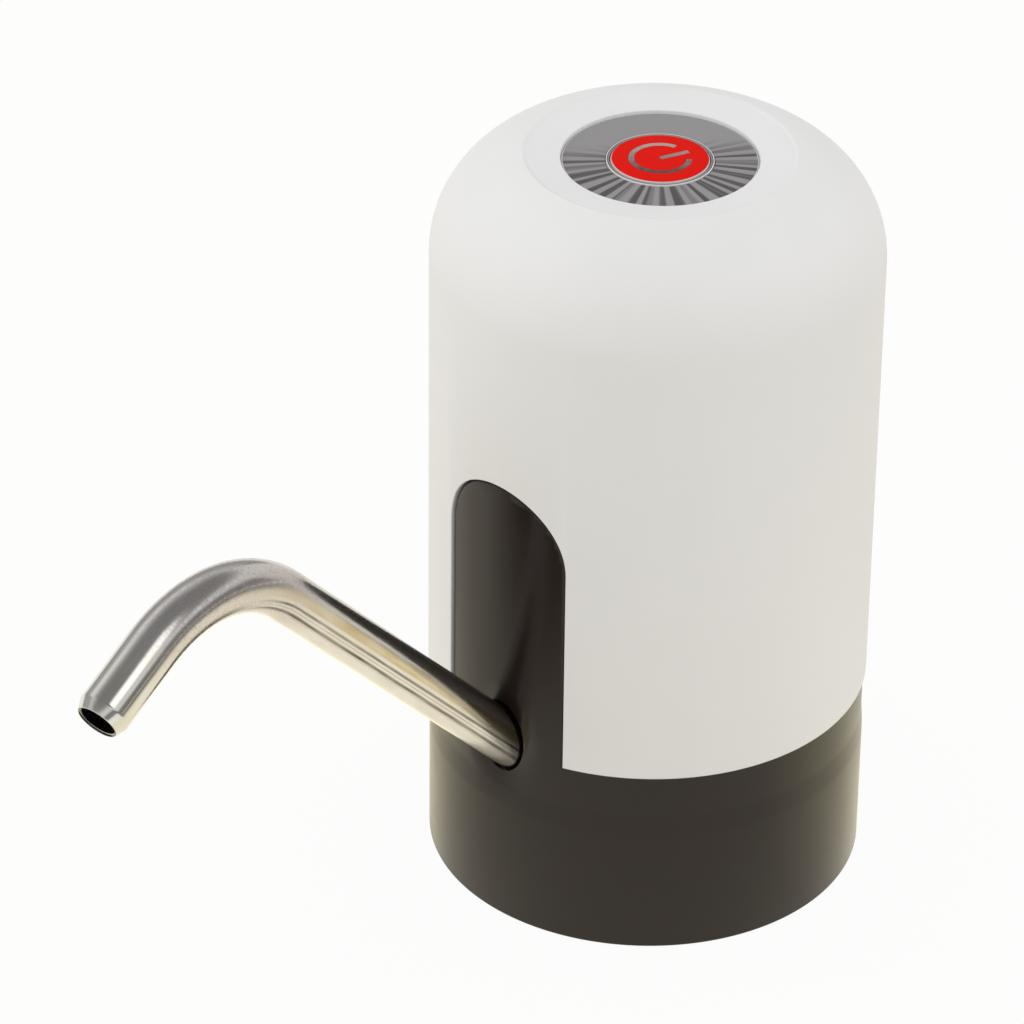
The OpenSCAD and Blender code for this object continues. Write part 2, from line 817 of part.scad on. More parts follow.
// The spout's path as a solid of the given radius, from its foot to the tip, lengthened at both ends
module spout_path(rod_r, extra = 0) {
  at_spout() rotate([0, 0, spout_turn]) {
    translate([0, 0, -spout_depth - extra]) cylinder(r = rod_r, h = spout_depth + extra + spout_run);
    translate([0, -bend_r, spout_run]) {
      bent_rod(rod_r, bend_r, bend_angle);
      rotate([bend_angle, 0, 0]) translate([0, bend_r, 0]) {
        cylinder(r = rod_r, h = nose_len);
        translate([0, 0, nose_len]) rotate_extrude()
          polygon([[0, -eps], [rod_r, -eps], [rod_r, 0], [rod_r - lip_in, lip_len],
            [rod_r - lip_in, lip_len + extra], [0, lip_len + extra]]);
      }
    }
  }
}

module spout_tube() {
  color("#c9c5bd") difference() {
    spout_path(tube_r);
    spout_path(tube_r - tube_wall, over);
  }
}

module spout_seal() {
  color("#26221f") at_spout() translate([0, 0, -groove_z - groove_w / 2])
    rotate_extrude() translate([tube_r + seal_fit + seal_r, 0]) circle(r = seal_r);
}

// Water path inside

module inlet_spigot() {
  color("#dcd8cf") difference() {
    union() {
      post(nozzle_r, nozzle_z, root_z + eps);
      post(root_r, root_z, floor_z + eps);
      post(flange_r, floor_z, floor_z + flange_t);
      post(barb_r, floor_z + flange_t - eps, floor_z + flange_t + hose_gap + barb_len);
    }
    post(port_r, nozzle_z - over, pump_z);
  }
}

module inlet_seal() {
  color("#30302e") ring(flange_r - over - nozzle_fit, root_hole, seal_t, floor_z - seal_t);
}

module inlet_hose() {
  low = floor_z + flange_t + hose_gap;
  color("#e4e0d8") translate([0, 0, low]) pipe(hose_out, hose_in, pump_z - hose_gap - low);
}

// The outlet hose's path as a solid of the given radius, lengthened at both ends
module outlet_path(rod_r, extra = 0) {
  start = socket_r + hose_gap - extra;
  at_spout() translate([0, start, -port_z]) rotate([-90, 0, 0])
    cylinder(r = rod_r, h = hose_turn_d - start);
  translate([0, outlet_y - hose_bend, hose_top_z]) rotate([-spout_rise, 0, 0])
    bent_rod(rod_r, hose_bend, spout_rise);
  translate([0, outlet_y, hose_top_z])
    cylinder(r = rod_r, h = pump_z - hose_gap - hose_top_z + extra);
}

module outlet_hose() {
  color("#e4e0d8") difference() {
    outlet_path(hose_out);
    outlet_path(hose_in, over);
  }
}

// Gear pump

// Outline of the pump: two rounds about the gear axes and the flat sides between them
module pump_outline() {
  for (axis = [drive, driven])
    translate(axis) circle(r = pump_r);
  translate([-gear_pitch, -port_off - pump_r]) square([gear_d, 2 * pump_r]);
}

// Outline of the water space: both gear rounds and the two port pockets
module cavity_outline() {
  for (axis = [drive, driven])
    translate(axis) circle(r = cavity_r);
  for (y = [0, outlet_y])
    translate([0, y]) circle(r = pocket_r);
}

// Round holes for the pump screws
module pump_screw_holes() {
  at_pump_screws() circle(r = screw_r + screw_gap);
}

module pump_cover() {
  color("#d9d5cb") difference() {
    union() {
      translate([0, 0, pump_z]) linear_extrude(cover_t) {
        pump_outline();
        at_ears() circle(r = ear_r);
        translate([-post_x, -port_off - ear_r]) square([2 * post_x, 2 * ear_r]);
      }
      for (y = [0, outlet_y])
        translate([0, y, 0]) post(barb_r, pump_z - hose_gap - barb_len, pump_z + eps);
    }
    for (y = [0, outlet_y])
      translate([0, y, 0]) post(port_r, pump_z - barb_len - over, cover_z + over);
    translate([0, 0, pump_z - over]) linear_extrude(cover_t + 2 * over) {
      pump_screw_holes();
      at_ears() circle(r = screw_r + screw_gap);
    }
    translate(driven) post(idler_r + screw_fit, cover_z - cover_t / 2, cover_z + over);
  }
}

module cover_gasket() {
  color("#2f2f2d") translate([0, 0, cover_z]) linear_extrude(gasket_t) difference() {
    pump_outline();
    cavity_outline();
    pump_screw_holes();
  }
}

module pump_body() {
  color("#cfcbc1") translate([0, 0, cover_z + gasket_t]) linear_extrude(body_t) difference() {
    pump_outline();
    cavity_outline();
    pump_screw_holes();
  }
}

module motor_plate() {
  color("#d9d5cb") difference() {
    translate([0, 0, plate_z]) linear_extrude(plate_t) {
      pump_outline();
      translate(drive) circle(r = motor_r);
    }
    at_motor() {
      post(shaft_r + screw_gap, plate_z - over, motor_z + over);
      post(seal_pocket_r, plate_z - over, plate_z + seal_pocket_t);
    }
    translate(driven) post(idler_r + screw_fit, plate_z - over, plate_z + plate_t / 2);
    at_pump_screws() post(screw_r + screw_fit, plate_z - over, plate_z + plate_t - over);
    at_motor_screws() {
      post(head_r + screw_gap, plate_z - over, plate_z + head_h + screw_gap);
      post(screw_r + screw_gap, plate_z, motor_z + over);
    }
  }
}

// Involute tooth: half angle of the tooth at a radius, in degrees
function involute(angle) = tan(angle) * 180 / PI - angle;
function tooth_half(radius) =
  90 / gear_z - backlash * 90 / (PI * gear_pitch) + involute(gear_angle) - involute(acos(gear_base / radius));
function at_polar(radius, angle) = radius * [cos(angle), sin(angle)];
function flank_radius(i) = gear_base + (gear_tip - gear_base) * i / gear_steps;

// Points of one tooth about the given direction: up one flank and down the other
function tooth_points(mid) = concat(
  [at_polar(gear_root, mid - tooth_half(gear_base))],
  [for (i = [0 : gear_steps]) at_polar(flank_radius(i), mid - tooth_half(flank_radius(i)))],
  [for (i = [gear_steps : -1 : 0]) at_polar(flank_radius(i), mid + tooth_half(flank_radius(i)))],
  [at_polar(gear_root, mid + tooth_half(gear_base))]
);

// A spur gear with a bore, its first tooth turned by the given angle
module spur_gear(bore, turn) {
  translate([0, 0, cover_z + side_gap]) linear_extrude(gear_h) difference() {
    polygon([for (k = [0 : gear_z - 1]) each tooth_points(turn + 360 * k / gear_z)]);
    circle(r = bore);
  }
}

module drive_gear() {
  color("#f0ece2") at_motor() spur_gear(shaft_r + screw_fit, 180);
}

module driven_gear() {
  color("#f0ece2") translate(driven) spur_gear(idler_r + shaft_fit, 180 / gear_z);
}

module idler_shaft() {
  color("#b9b9b4") translate(driven) post(idler_r, cover_z - cover_t / 2, plate_z + plate_t / 2);
}

module shaft_seal() {
  color("#30302e") at_motor()
    ring(seal_pocket_r - seal_fit, shaft_r + seal_fit, seal_pocket_t - side_gap, plate_z + side_gap);
}

module pump_screws() {
  reach = cover_t + gasket_t + body_t + plate_t - 2 * over;
  color("silver") at_pump_screws() translate([0, 0, pump_z]) screw(reach);
}

module pump_mount_screws() {
  color("silver") at_ears() translate([0, 0, cover_z]) rotate([180, 0, 0]) screw(cover_t + post_bite - over);
}

module motor_screws() {
  color("silver") at_motor_screws() translate([0, 0, plate_z + head_h + screw_gap])
    screw(plate_t - head_h - screw_gap + can_front + over);
}

// Motor

module motor_can() {
  color("#a9aaa8") difference() {
    at_motor() {
      ring(motor_r, can_in, motor_len, motor_z);
      ring(motor_r - eps, bush_r + screw_fit, can_front, motor_z);
      ring(bush_r + bush_wall, bush_r + screw_fit, bush_len + screw_gap, motor_z);
    }
    at_motor_screws() post(screw_r + screw_fit, motor_z - over, motor_z + can_front + over);
  }
}

// Outline of the two terminals, one on each side of the commutator
module terminal_slots(gap) {
  for (sx = [-1, 1])
    translate([drive.x + sx * (brush_x + brush_t / 2), drive.y + terminal_y + terminal_t / 2])
      square([terminal_w + 2 * gap, terminal_t + 2 * gap], center = true);
}

module motor_end_cap() {
  spigot_t = 1.5;
  spigot_wall = 1.6;
  color("#3a3a38") difference() {
    at_motor() {
      post(motor_r, cap_z, cap_z + cap_t);
      ring(can_in - magnet_gap / 2, can_in - spigot_wall, spigot_t + eps, cap_z - spigot_t);
      post(bush_r + bush_wall, cap_z + cap_t - eps, cap_z + cap_t + cap_boss);
    }
    at_motor() {
      post(bush_r + screw_fit, cap_z + cap_t + cap_boss - bush_len, cap_z + cap_t + cap_boss + over);
      post(shaft_r + screw_gap, cap_z - over, cap_z + cap_t + over);
    }
    translate([0, 0, cap_z - over]) linear_extrude(cap_t + 2 * over) terminal_slots(seal_fit);
  }
}

module motor_shaft() {
  color("#c4c4c0") at_motor() post(shaft_r, cover_z + side_gap, cap_z + cap_t + cap_boss - shaft_lead);
}

// Three-pole plate: hub, three necks and three pole shoes
module armature_outline() {
  shoe_angle = 100;
  circle(r = shaft_r + hub_wall);
  for (turn = [0, 120, 240])
    rotate([0, 0, turn]) {
      translate([0, -pole_w / 2]) square([armature_r - shoe_t / 2, pole_w]);
      intersection() {
        difference() {
          circle(r = armature_r);
          circle(r = armature_r - shoe_t);
        }
        polygon([
          [0, 0], at_polar(2 * armature_r, -shoe_angle / 2), at_polar(2 * armature_r, shoe_angle / 2)
        ]);
      }
    }
}

module motor_armature() {
  color("#7d7f80") at_motor() translate([0, 0, armature_z]) linear_extrude(armature_len) difference() {
    armature_outline();
    circle(r = shaft_r + screw_fit);
  }
}

module motor_windings() {
  coil_in = shaft_r + hub_wall + 3 * coil_gap;
  coil_w = pole_w + 2 * coil_t;
  coil_out = sqrt(pow(armature_r - shoe_t - coil_gap, 2) - pow(coil_w / 2, 2));
  color("#b06a3a") at_motor() for (turn = [0, 120, 240])
    rotate([0, 0, turn]) difference() {
      translate([coil_in, -coil_w / 2, armature_z - coil_over])
        cube([coil_out - coil_in, coil_w, armature_len + 2 * coil_over]);
      translate([0, -pole_w / 2 - coil_gap, armature_z - coil_gap])
        cube([armature_r, pole_w + 2 * coil_gap, armature_len + 2 * coil_gap]);
    }
}

module commutator() {
  slit = 0.4;
  color("#c58a54") at_motor() difference() {
    ring(commutator_r, shaft_r + screw_fit, commutator_len, commutator_z);
    for (turn = [60, 180, 300])
      rotate([0, 0, turn]) translate([shaft_r + 0.8, -slit / 2, commutator_z - over])
        cube([commutator_r, slit, commutator_len + 2 * over]);
  }
}

module motor_magnets() {
  low = motor_z + bush_len + magnet_end;
  high = brush_z - magnet_end;
  span = 130;
  color("#4a4b4d") at_motor() for (turn = [0, 180])
    rotate([0, 0, turn - span / 2]) translate([0, 0, low]) rotate_extrude(angle = span)
      translate([magnet_in, 0]) square([can_in - magnet_gap - magnet_in, high - low]);
}

module motor_brushes() {
  color("#c08a4e") at_motor() for (sx = [-1, 1])
    translate([sx > 0 ? brush_x : -brush_x - brush_t, -brush_back, brush_z])
      cube([brush_t, brush_back + terminal_y, brush_h]);
}

module front_bush() {
  color("#b08d4f") at_motor() ring(bush_r, shaft_r + shaft_fit, bush_len, motor_z);
}

module rear_bush() {
  color("#b08d4f") at_motor()
    ring(bush_r, shaft_r + shaft_fit, bush_len, cap_z + cap_t + cap_boss - bush_len);
}

module motor_terminals() {
  color("#c9b27a") translate([0, 0, brush_z])
    linear_extrude(cap_z + cap_t + terminal_top - brush_z) terminal_slots(0);
}

// Battery

module battery_cell() {
  color("#3f7fb8") translate(cell_pos) post(cell_r, cell_z, cell_z + cell_len);
}

module battery_cap() {
  color("#c9c9c4") translate(cell_pos) post(cap_r, cell_z + cell_len, cell_z + cell_len + cap_h);
}

// A strip from the cell's middle out through the cradle's opening
module tab(z) {
  translate([cell_pos.x, cell_pos.y, z]) rotate([0, 0, tab_az])
    translate([0, -tab_w / 2, 0]) cube([tab_reach, tab_w, tab_t]);
}

module battery_tabs() {
  color("#cfcfc9") {
    tab(cell_z - tab_t);
    tab(cell_z + cell_len + cap_h);
  }
}

module battery_cradle() {
  color("#e8e6e0") translate(cell_pos) {
    ring(foot_r, foot_r - cradle_wall, cradle_z - floor_z + cradle_floor / 2, floor_z);
    post(cradle_out - cradle_wall / 2, cradle_z, cradle_z + cradle_floor);
    translate([0, 0, cradle_z])
      rotate([0, 0, cell_az + 180 + cradle_open / 2]) rotate_extrude(angle = 360 - cradle_open)
        translate([cradle_in, 0]) square([cradle_wall, cradle_floor + cradle_h]);
  }
}

// Main board

module main_board() {
  color("#1f6b45") translate([0, 0, board_z]) linear_extrude(board_t) difference() {
    intersection() {
      translate([board_left, board_front]) square([board_right - board_left, board_r]);
      circle(r = board_r);
    }
    at_board_posts() circle(r = screw_r + screw_gap);
  }
}

// Chips that stand on the main board: size, and middle measured from the board's right front corner
module board_chips() {
  chips = [
    [[5, 4, 1.4], [-8.25, 5.5]],
    [[3, 1.6, 1.1], [-10, 9]],
    [[4.2, 4.2, 2.6], [-9.5, 12.6]],
    [[2, 1.2, 0.8], [-18, 9]]
  ];
  color("#2a2a2c") for (chip = chips)
    translate([board_right + chip[1].x - chip[0].x / 2, board_front + chip[1].y - chip[0].y / 2, board_top])
      cube(chip[0]);
}

module board_screws() {
  color("silver") at_board_posts() translate([0, 0, board_top]) rotate([180, 0, 0])
    screw(board_t + shell_bite - over);
}

module usb_socket() {
  color("#bfc0bf") translate([0, usb_y, usb_z]) rotate([90, 0, 0]) difference() {
    linear_extrude(usb_len) square([usb_w, usb_h], center = true);
    translate([0, 0, -over]) linear_extrude(usb_len + over - usb_wall)
      square([usb_w - 2 * usb_wall, usb_h - 2 * usb_wall], center = true);
  }
}

module usb_tongue() {
  tongue_t = 0.6;
  tongue_inset = 1;
  tongue_w = usb_w - 2 * usb_wall - 2;
  color("#232323") translate([-tongue_w / 2, usb_y - usb_len + usb_wall, usb_z - tongue_t / 2])
    cube([tongue_w, usb_len - usb_wall - tongue_inset, tongue_t]);
}

// Button, label and button board

module button_board() {
  color("#1f6b45") translate([0, 0, panel_z]) linear_extrude(board_t) difference() {
    circle(r = panel_r);
    at_panel_posts() circle(r = screw_r + screw_gap);
  }
}

module button_board_screws() {
  color("silver") at_panel_posts() translate([0, 0, panel_z])
    screw(board_t + ceiling_z - panel_top - 2 * over);
}

module tact_switch_body() {
  color("#2a2a2c") difference() {
    translate([-switch_w / 2, -switch_w / 2, panel_top]) cube([switch_w, switch_w, switch_h]);
    post(plunger_r + button_gap, panel_top + switch_h - plunger_h - button_travel - lug_gap, lug_z);
  }
}

module tact_switch_plunger() {
  color("#3c3c3e") post(plunger_r, panel_top + switch_h - plunger_h, lug_z);
}

module indicator_lamps() {
  lamp = [1.6, 0.8, 0.7];
  color("#e9e6c8") for (az = [0 : 90 : 270])
    rotate([0, 0, az]) translate([light_in - lamp.x / 2, -lamp.y / 2, panel_top]) cube(lamp);
}

module label_plate() {
  color("#a3a1a1") ring(label_r, light_hole, label_t, roof_z);
}

module light_ring() {
  color("#e6eaec") {
    ring(light_out, light_in, label_z + light_rise - light_z, light_z);
    ring(light_hole + light_lug, light_out - eps, lug_t, light_z);
  }
}

// Outline of the power symbol: an open ring and a bar through its opening
module symbol_outline() {
  rotate([0, 0, symbol_az]) {
    difference() {
      circle(r = symbol_r + symbol_w / 2);
      circle(r = symbol_r - symbol_w / 2);
      polygon([[0, 0], at_polar(2 * symbol_r, -symbol_open / 2), at_polar(2 * symbol_r, symbol_open / 2)]);
    }
    translate([0, -symbol_w / 2]) square([symbol_r + symbol_w / 2, symbol_w]);
  }
}

module button_cap() {
  color("#d8261d") difference() {
    union() {
      post(button_r, lug_z, button_z);
      post(lug_r, lug_z, lug_z + lug_t);
    }
    difference() {
      post(button_r - button_wall, lug_z - over, button_z - button_top_t);
      post(stem_r, lug_z - 2 * over, button_z);
    }
    translate([0, 0, button_z - symbol_t]) linear_extrude(symbol_t + over) symbol_outline();
  }
}

module power_symbol() {
  color("#c7bdb8") translate([0, 0, button_z - symbol_t]) linear_extrude(symbol_t) symbol_outline();
}

// Leads

module battery_leads() {
  low = cell_z;
  high = cell_z + cell_len + cap_h + tab_t;
  black_x = battery_lead_x[0];
  red_x = battery_lead_x[1];
  color("#2b2b2b") lead([
    [tab_tip.x, tab_tip.y, low], [tab_tip.x, tab_tip.y, board_top + lead_lift],
    [(tab_tip.x + black_x) / 2, pad_y - lead_r, board_top + 2 * lead_lift],
    [black_x, pad_y, board_top + lead_lift], [black_x, pad_y, board_top]
  ]);
  color("#b3261e") lead([
    [tab_tip.x, tab_tip.y, high], [tab_tip.x, tab_tip.y, high + lead_lift],
    [(tab_tip.x + red_x) / 2, (tab_tip.y + bus_y) / 2, high + 2 * lead_lift],
    [red_x, bus_y, high], [red_x, bus_y, board_top + 3 * lead_lift],
    [red_x, pad_y, board_top + lead_lift], [red_x, pad_y, board_top]
  ]);
}

module motor_leads() {
  top = cap_z + cap_t + terminal_top;
  y0 = drive.y + terminal_y + terminal_t / 2;
  color("#b3261e") for (i = [0, 1])
    let (x0 = drive.x + (2 * i - 1) * (brush_x + brush_t / 2), x1 = pump_lead_x[i])
      lead([
        [x0, y0, top], [x0, y0, top + lead_lift], [x0, y0 + 2 * lead_lift, top + 2 * lead_lift],
        [x1, bus_y - lead_lift, top + lead_lift], [x1, bus_y, top - 2 * lead_lift],
        [x1, bus_y, board_top + 3 * lead_lift], [x1, pad_y, board_top + lead_lift],
        [x1, pad_y, board_top]
      ]);
}

module switch_leads() {
  y0 = panel_post_d - panel_post_r - lead_r;
  y1 = bus_y + 2 * lead_lift;
  color("#d9d9d4") for (x = switch_lead_x)
    lead([
      [x, y0, panel_z], [x, y0, panel_z - lead_lift], [x, y0 + 2 * lead_lift, panel_z - 3 * lead_lift],
      [x, y1, panel_z - 8 * lead_lift], [x, y1, board_top + 4 * lead_lift],
      [x, pad_y, board_top + lead_lift], [x, pad_y, board_top]
    ]);
}

outer_shell();
base_housing();
shell_screws();
spout_tube();
spout_seal();
inlet_spigot();
inlet_seal();
inlet_hose();
outlet_hose();
pump_cover();
cover_gasket();
pump_body();
motor_plate();
drive_gear();
driven_gear();
idler_shaft();
shaft_seal();
pump_screws();
pump_mount_screws();
motor_screws();
motor_can();
motor_end_cap();
motor_shaft();
motor_armature();
motor_windings();
commutator();
motor_magnets();
motor_brushes();
front_bush();
rear_bush();
motor_terminals();
battery_cell();
battery_cap();
battery_tabs();
battery_cradle();
main_board();
board_chips();
board_screws();
usb_socket();
usb_tongue();
button_board();
button_board_screws();
tact_switch_body();
tact_switch_plunger();
indicator_lamps();
label_plate();
light_ring();
button_cap();
power_symbol();
battery_leads();
motor_leads();
switch_leads();
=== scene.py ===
"""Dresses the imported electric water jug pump: its visible mouldings, spout and top panel, and the finishes of all.

The frame has +Z up, the body's axis on Z, the spout towards -Y and the mouth of the neck socket at the origin.
Sizes in the classes are in millimetres and degrees. Meshes are in metres, as the frame is.
"""

import json
import logging
import math
from contextlib import contextmanager
from dataclasses import dataclass
from enum import Enum
from typing import Iterator, Sequence

import bpy
from mathutils import Matrix, Vector

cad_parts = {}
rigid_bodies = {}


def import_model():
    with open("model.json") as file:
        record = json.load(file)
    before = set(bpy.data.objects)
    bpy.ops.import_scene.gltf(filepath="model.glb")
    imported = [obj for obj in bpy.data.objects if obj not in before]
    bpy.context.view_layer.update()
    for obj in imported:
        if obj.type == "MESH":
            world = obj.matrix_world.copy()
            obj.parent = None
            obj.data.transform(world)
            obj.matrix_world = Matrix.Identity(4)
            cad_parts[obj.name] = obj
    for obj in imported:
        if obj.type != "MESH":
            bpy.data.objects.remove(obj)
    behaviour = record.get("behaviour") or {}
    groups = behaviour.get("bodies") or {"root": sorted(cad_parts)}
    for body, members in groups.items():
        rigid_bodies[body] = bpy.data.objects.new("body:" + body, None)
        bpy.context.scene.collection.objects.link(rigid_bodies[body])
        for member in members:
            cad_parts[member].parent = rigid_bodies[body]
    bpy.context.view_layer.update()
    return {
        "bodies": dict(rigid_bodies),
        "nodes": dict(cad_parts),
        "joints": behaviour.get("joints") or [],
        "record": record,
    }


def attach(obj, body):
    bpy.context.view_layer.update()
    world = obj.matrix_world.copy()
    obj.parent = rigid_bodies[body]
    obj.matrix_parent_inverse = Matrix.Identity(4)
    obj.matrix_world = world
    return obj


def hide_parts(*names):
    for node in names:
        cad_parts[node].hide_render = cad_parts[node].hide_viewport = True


LOG = logging.getLogger("jug_pump")

MM = 0.001
TURN = 2 * math.pi
ROUND_STEPS = 288
FINE_STEPS = 192
WELD = 1e-6
CREASE = 35.0

# How far joined solids run into each other, and how far a cutter runs past a face, in millimetres
LAP = 0.1
PAST = 1.0

Colour = tuple[float, float, float]
Corner = tuple[float, ...]
Stretch = tuple[float, float, float]
Pair = tuple[float, float]
Material = bpy.types.Material
Piece = bpy.types.Object
Socket = bpy.types.NodeSocket
Shared = float | Socket
Tint = Colour | Socket


# Sizes that several sub-assemblies share


@dataclass(frozen=True)
class BodySizes:
    """The pump's driving sizes, as its solids have them."""

    shell_r: float = 36.5
    shell_wall: float = 2.0
    seam_z: float = 33.6
    shoulder_z: float = 110.8
    shoulder_r: float = 18.3
    crest_r: float = 21.8
    dish_drop: float = 0.95
    well_r: float = 15.8
    label_recess: float = 0.5
    label_t: float = 0.5
    light_hole: float = 8.7
    window_half: float = 12.5
    window_z: float = 70.3
    band_r: float = 36.05
    floor_z: float = 22.5
    neck_depth: float = 20.0
    column_d: float = 31.7
    column_az: tuple[float, ...] = (45.0, 225.0, 315.0)
    screw_r: float = 1.15
    pilot_gap: float = 0.03
    usb_z: float = 43.35

    @property
    def shell_in(self) -> float:
        """Inner radius of the shell."""
        return self.shell_r - self.shell_wall

    @property
    def pilot_r(self) -> float:
        """Radius of a screw's pilot hole."""
        return self.screw_r + self.pilot_gap

    @property
    def shoulder_d(self) -> float:
        """Distance of the shoulder's centre from the axis."""
        return self.shell_r - self.shoulder_r

    @property
    def crest_z(self) -> float:
        """Height of the crest round the dished top."""
        return self.shoulder_z + math.sqrt(self.shoulder_r**2 - (self.crest_r - self.shoulder_d) ** 2)

    @property
    def well_z(self) -> float:
        """Height of the inner edge of the dished top."""
        return self.crest_z - self.dish_drop

    @property
    def label_z(self) -> float:
        """Height of the label's face."""
        return self.well_z - self.label_recess

    @property
    def roof_z(self) -> float:
        """Height of the seat under the label."""
        return self.label_z - self.label_t

    @property
    def ceiling_z(self) -> float:
        """Height of the shell's ceiling."""
        return self.roof_z - self.shell_wall


# Modelling by operators


class Joining(Enum):
    """How one solid is combined with another."""

    CUT = "DIFFERENCE"
    ADD = "UNION"
    KEEP = "INTERSECT"


def select_only(piece: Piece | None) -> None:
    """Leaves edit mode and selects one piece, or nothing."""
    if bpy.context.object is not None and bpy.context.object.mode == "EDIT":
        bpy.ops.object.mode_set(mode="OBJECT")
    bpy.ops.object.select_all(action="DESELECT")
    if piece is not None:
        piece.select_set(True)
        bpy.context.view_layer.objects.active = piece


@contextmanager
def editing(piece: Piece) -> Iterator[None]:
    """Opens one piece in edit mode with all of it selected."""
    select_only(piece)
    bpy.ops.object.mode_set(mode="EDIT")
    bpy.ops.mesh.select_all(action="SELECT")
    yield
    bpy.ops.object.mode_set(mode="OBJECT")


def weld() -> None:
    """Merges doubles, drops loose edges and turns the faces outwards, in edit mode."""
    bpy.ops.mesh.select_all(action="SELECT")
    bpy.ops.mesh.remove_doubles(threshold=WELD)
    bpy.ops.mesh.delete_loose(use_verts=True, use_edges=True, use_faces=False)
    bpy.ops.mesh.select_all(action="SELECT")
    bpy.ops.mesh.normals_make_consistent(inside=False)


def rounded(corners: Sequence[Corner], steps: int = 5) -> list[Vector]:
    """Rounds the corners of a closed outline.

    Args:
        corners: Across and up of each corner and, if it is rounded, its radius, in millimetres.
        steps: Straight pieces in each rounding.

    Returns:
        The outline's points, as flat vectors in millimetres.
    """
    points: list[Vector] = []
    for k, (across, up, *radius) in enumerate(corners):
        here = Vector((across, up))
        if not radius:
            points.append(here)
            continue
        back = (Vector(corners[k - 1][:2]) - here).normalized()
        ahead = (Vector(corners[(k + 1) % len(corners)][:2]) - here).normalized()
        half = back.angle(ahead) / 2
        centre = here + (back + ahead).normalized() * (radius[0] / math.sin(half))
        start = here + back * (radius[0] / math.tan(half)) - centre
        end = here + ahead * (radius[0] / math.tan(half)) - centre
        sweep = math.atan2(start.x * end.y - start.y * end.x, start.dot(end))
        points += [centre + Matrix.Rotation(sweep * i / steps, 2) @ start for i in range(steps + 1)]
    return points


def arc(centre: Sequence[float], radius: float, start: float, end: float, steps: int) -> list[Corner]:
    """Corners along an arc between two angles in degrees, with no rounding of their own."""
    angles = [math.radians(start + (end - start) * i / steps) for i in range(steps + 1)]
    return [(centre[0] + radius * math.cos(a), centre[1] + radius * math.sin(a)) for a in angles]


def trace(name: str, points: Sequence[Vector]) -> Piece:
    """Draws a closed outline by extruding one corner from point to point.

    Args:
        name: Name of the new piece.
        points: The outline's points, in metres.

    Returns:
        The outline as a piece with edges only.
    """
    select_only(None)
    bpy.ops.mesh.primitive_plane_add(size=MM)
    piece = bpy.context.object
    piece.name = name
    with editing(piece):
        bpy.ops.mesh.merge(type="CENTER")
        bpy.ops.transform.translate(value=points[0])
        for last, here in zip(points, [*points[1:], points[0]]):
            bpy.ops.mesh.extrude_region_move(TRANSFORM_OT_translate={"value": here - last})
        bpy.ops.mesh.select_all(action="SELECT")
        bpy.ops.mesh.remove_doubles(threshold=WELD)
    return piece


def revolve(name: str, section: Sequence[Corner], steps: int = ROUND_STEPS) -> Piece:
    """Rounds the corners of a closed section, as distance and height, and spins it about the body's axis."""
    piece = trace(name, [Vector((point.x, 0, point.y)) * MM for point in rounded(section)])
    with editing(piece):
        bpy.ops.mesh.spin(steps=steps, angle=TURN, center=(0, 0, 0), axis=(0, 0, 1))
        weld()
    return piece


def prism(name: str, outline: Sequence[Vector], depth: float, place: Matrix) -> Piece:
    """Fills an outline, extrudes it and puts it in its place.

    Args:
        name: Name of the new piece.
        outline: Outline in the XY plane, in millimetres.
        depth: Height of the prism along +Z, in millimetres.
        place: Where the prism's own frame sits, in metres.

    Returns:
        The prism as a closed piece.
    """
    piece = trace(name, [Vector((p.x, p.y, 0)) * MM for p in outline])
    with editing(piece):
        bpy.ops.mesh.edge_face_add()
        bpy.ops.mesh.extrude_region_move(TRANSFORM_OT_translate={"value": (0, 0, depth * MM)})
        weld()
    piece.data.transform(place)
    return piece


def rod(radius: float, low: float, high: float, place: Matrix = Matrix(), sides: int = 48) -> Piece:
    """A round rod along its frame's Z axis between two heights, in millimetres."""
    select_only(None)
    bpy.ops.mesh.primitive_cylinder_add(
        vertices=sides, radius=radius * MM, depth=(high - low) * MM, location=(0, 0, (low + high) / 2 * MM)
    )
    piece = bpy.context.object
    bpy.ops.object.transform_apply(location=True, rotation=True, scale=True)
    piece.data.transform(place)
    return piece


def block(low: Sequence[float], high: Sequence[float], place: Matrix = Matrix()) -> Piece:
    """A block between two corners, in millimetres, in its own frame."""
    select_only(None)
    middle = [(a + b) / 2 * MM for a, b in zip(low, high)]
    bpy.ops.mesh.primitive_cube_add(size=1, location=middle, scale=[(b - a) * MM for a, b in zip(low, high)])
    piece = bpy.context.object
    bpy.ops.object.transform_apply(location=True, rotation=True, scale=True)
    piece.data.transform(place)
    return piece


def loft(name: str, rings: Sequence[Sequence[Vector]]) -> Piece:
    """Skins closed rings of points one after another on a grid, and caps both ends.

    Args:
        name: Name of the new piece.
        rings: Rings with equal numbers of points, in millimetres.

    Returns:
        The skin as a closed piece.
    """
    select_only(None)
    bpy.ops.mesh.primitive_grid_add(x_subdivisions=len(rings[0]), y_subdivisions=len(rings) - 1, size=MM)
    piece = bpy.context.object
    piece.name = name
    corners = [point * MM for ring in rings for point in (*ring, ring[0])]
    piece.data.vertices.foreach_set("co", [value for point in corners for value in point])
    with editing(piece):
        bpy.ops.mesh.remove_doubles(threshold=WELD)
        bpy.ops.mesh.fill_holes(sides=0)
        weld()
    return piece


def combine(piece: Piece, tool: Piece, joining: Joining) -> None:
    """Cuts a tool from a piece, adds it or keeps what both share, and removes the tool."""
    select_only(piece)
    modifier = piece.modifiers.new(joining.name, "BOOLEAN")
    modifier.operation = joining.value
    modifier.solver = "MANIFOLD"
    modifier.object = tool
    bpy.ops.object.modifier_apply(modifier=modifier.name)
    bpy.data.objects.remove(tool, do_unlink=True)


def add(piece: Piece, tool: Piece) -> None:
    """Adds a solid to a piece."""
    combine(piece, tool, Joining.ADD)


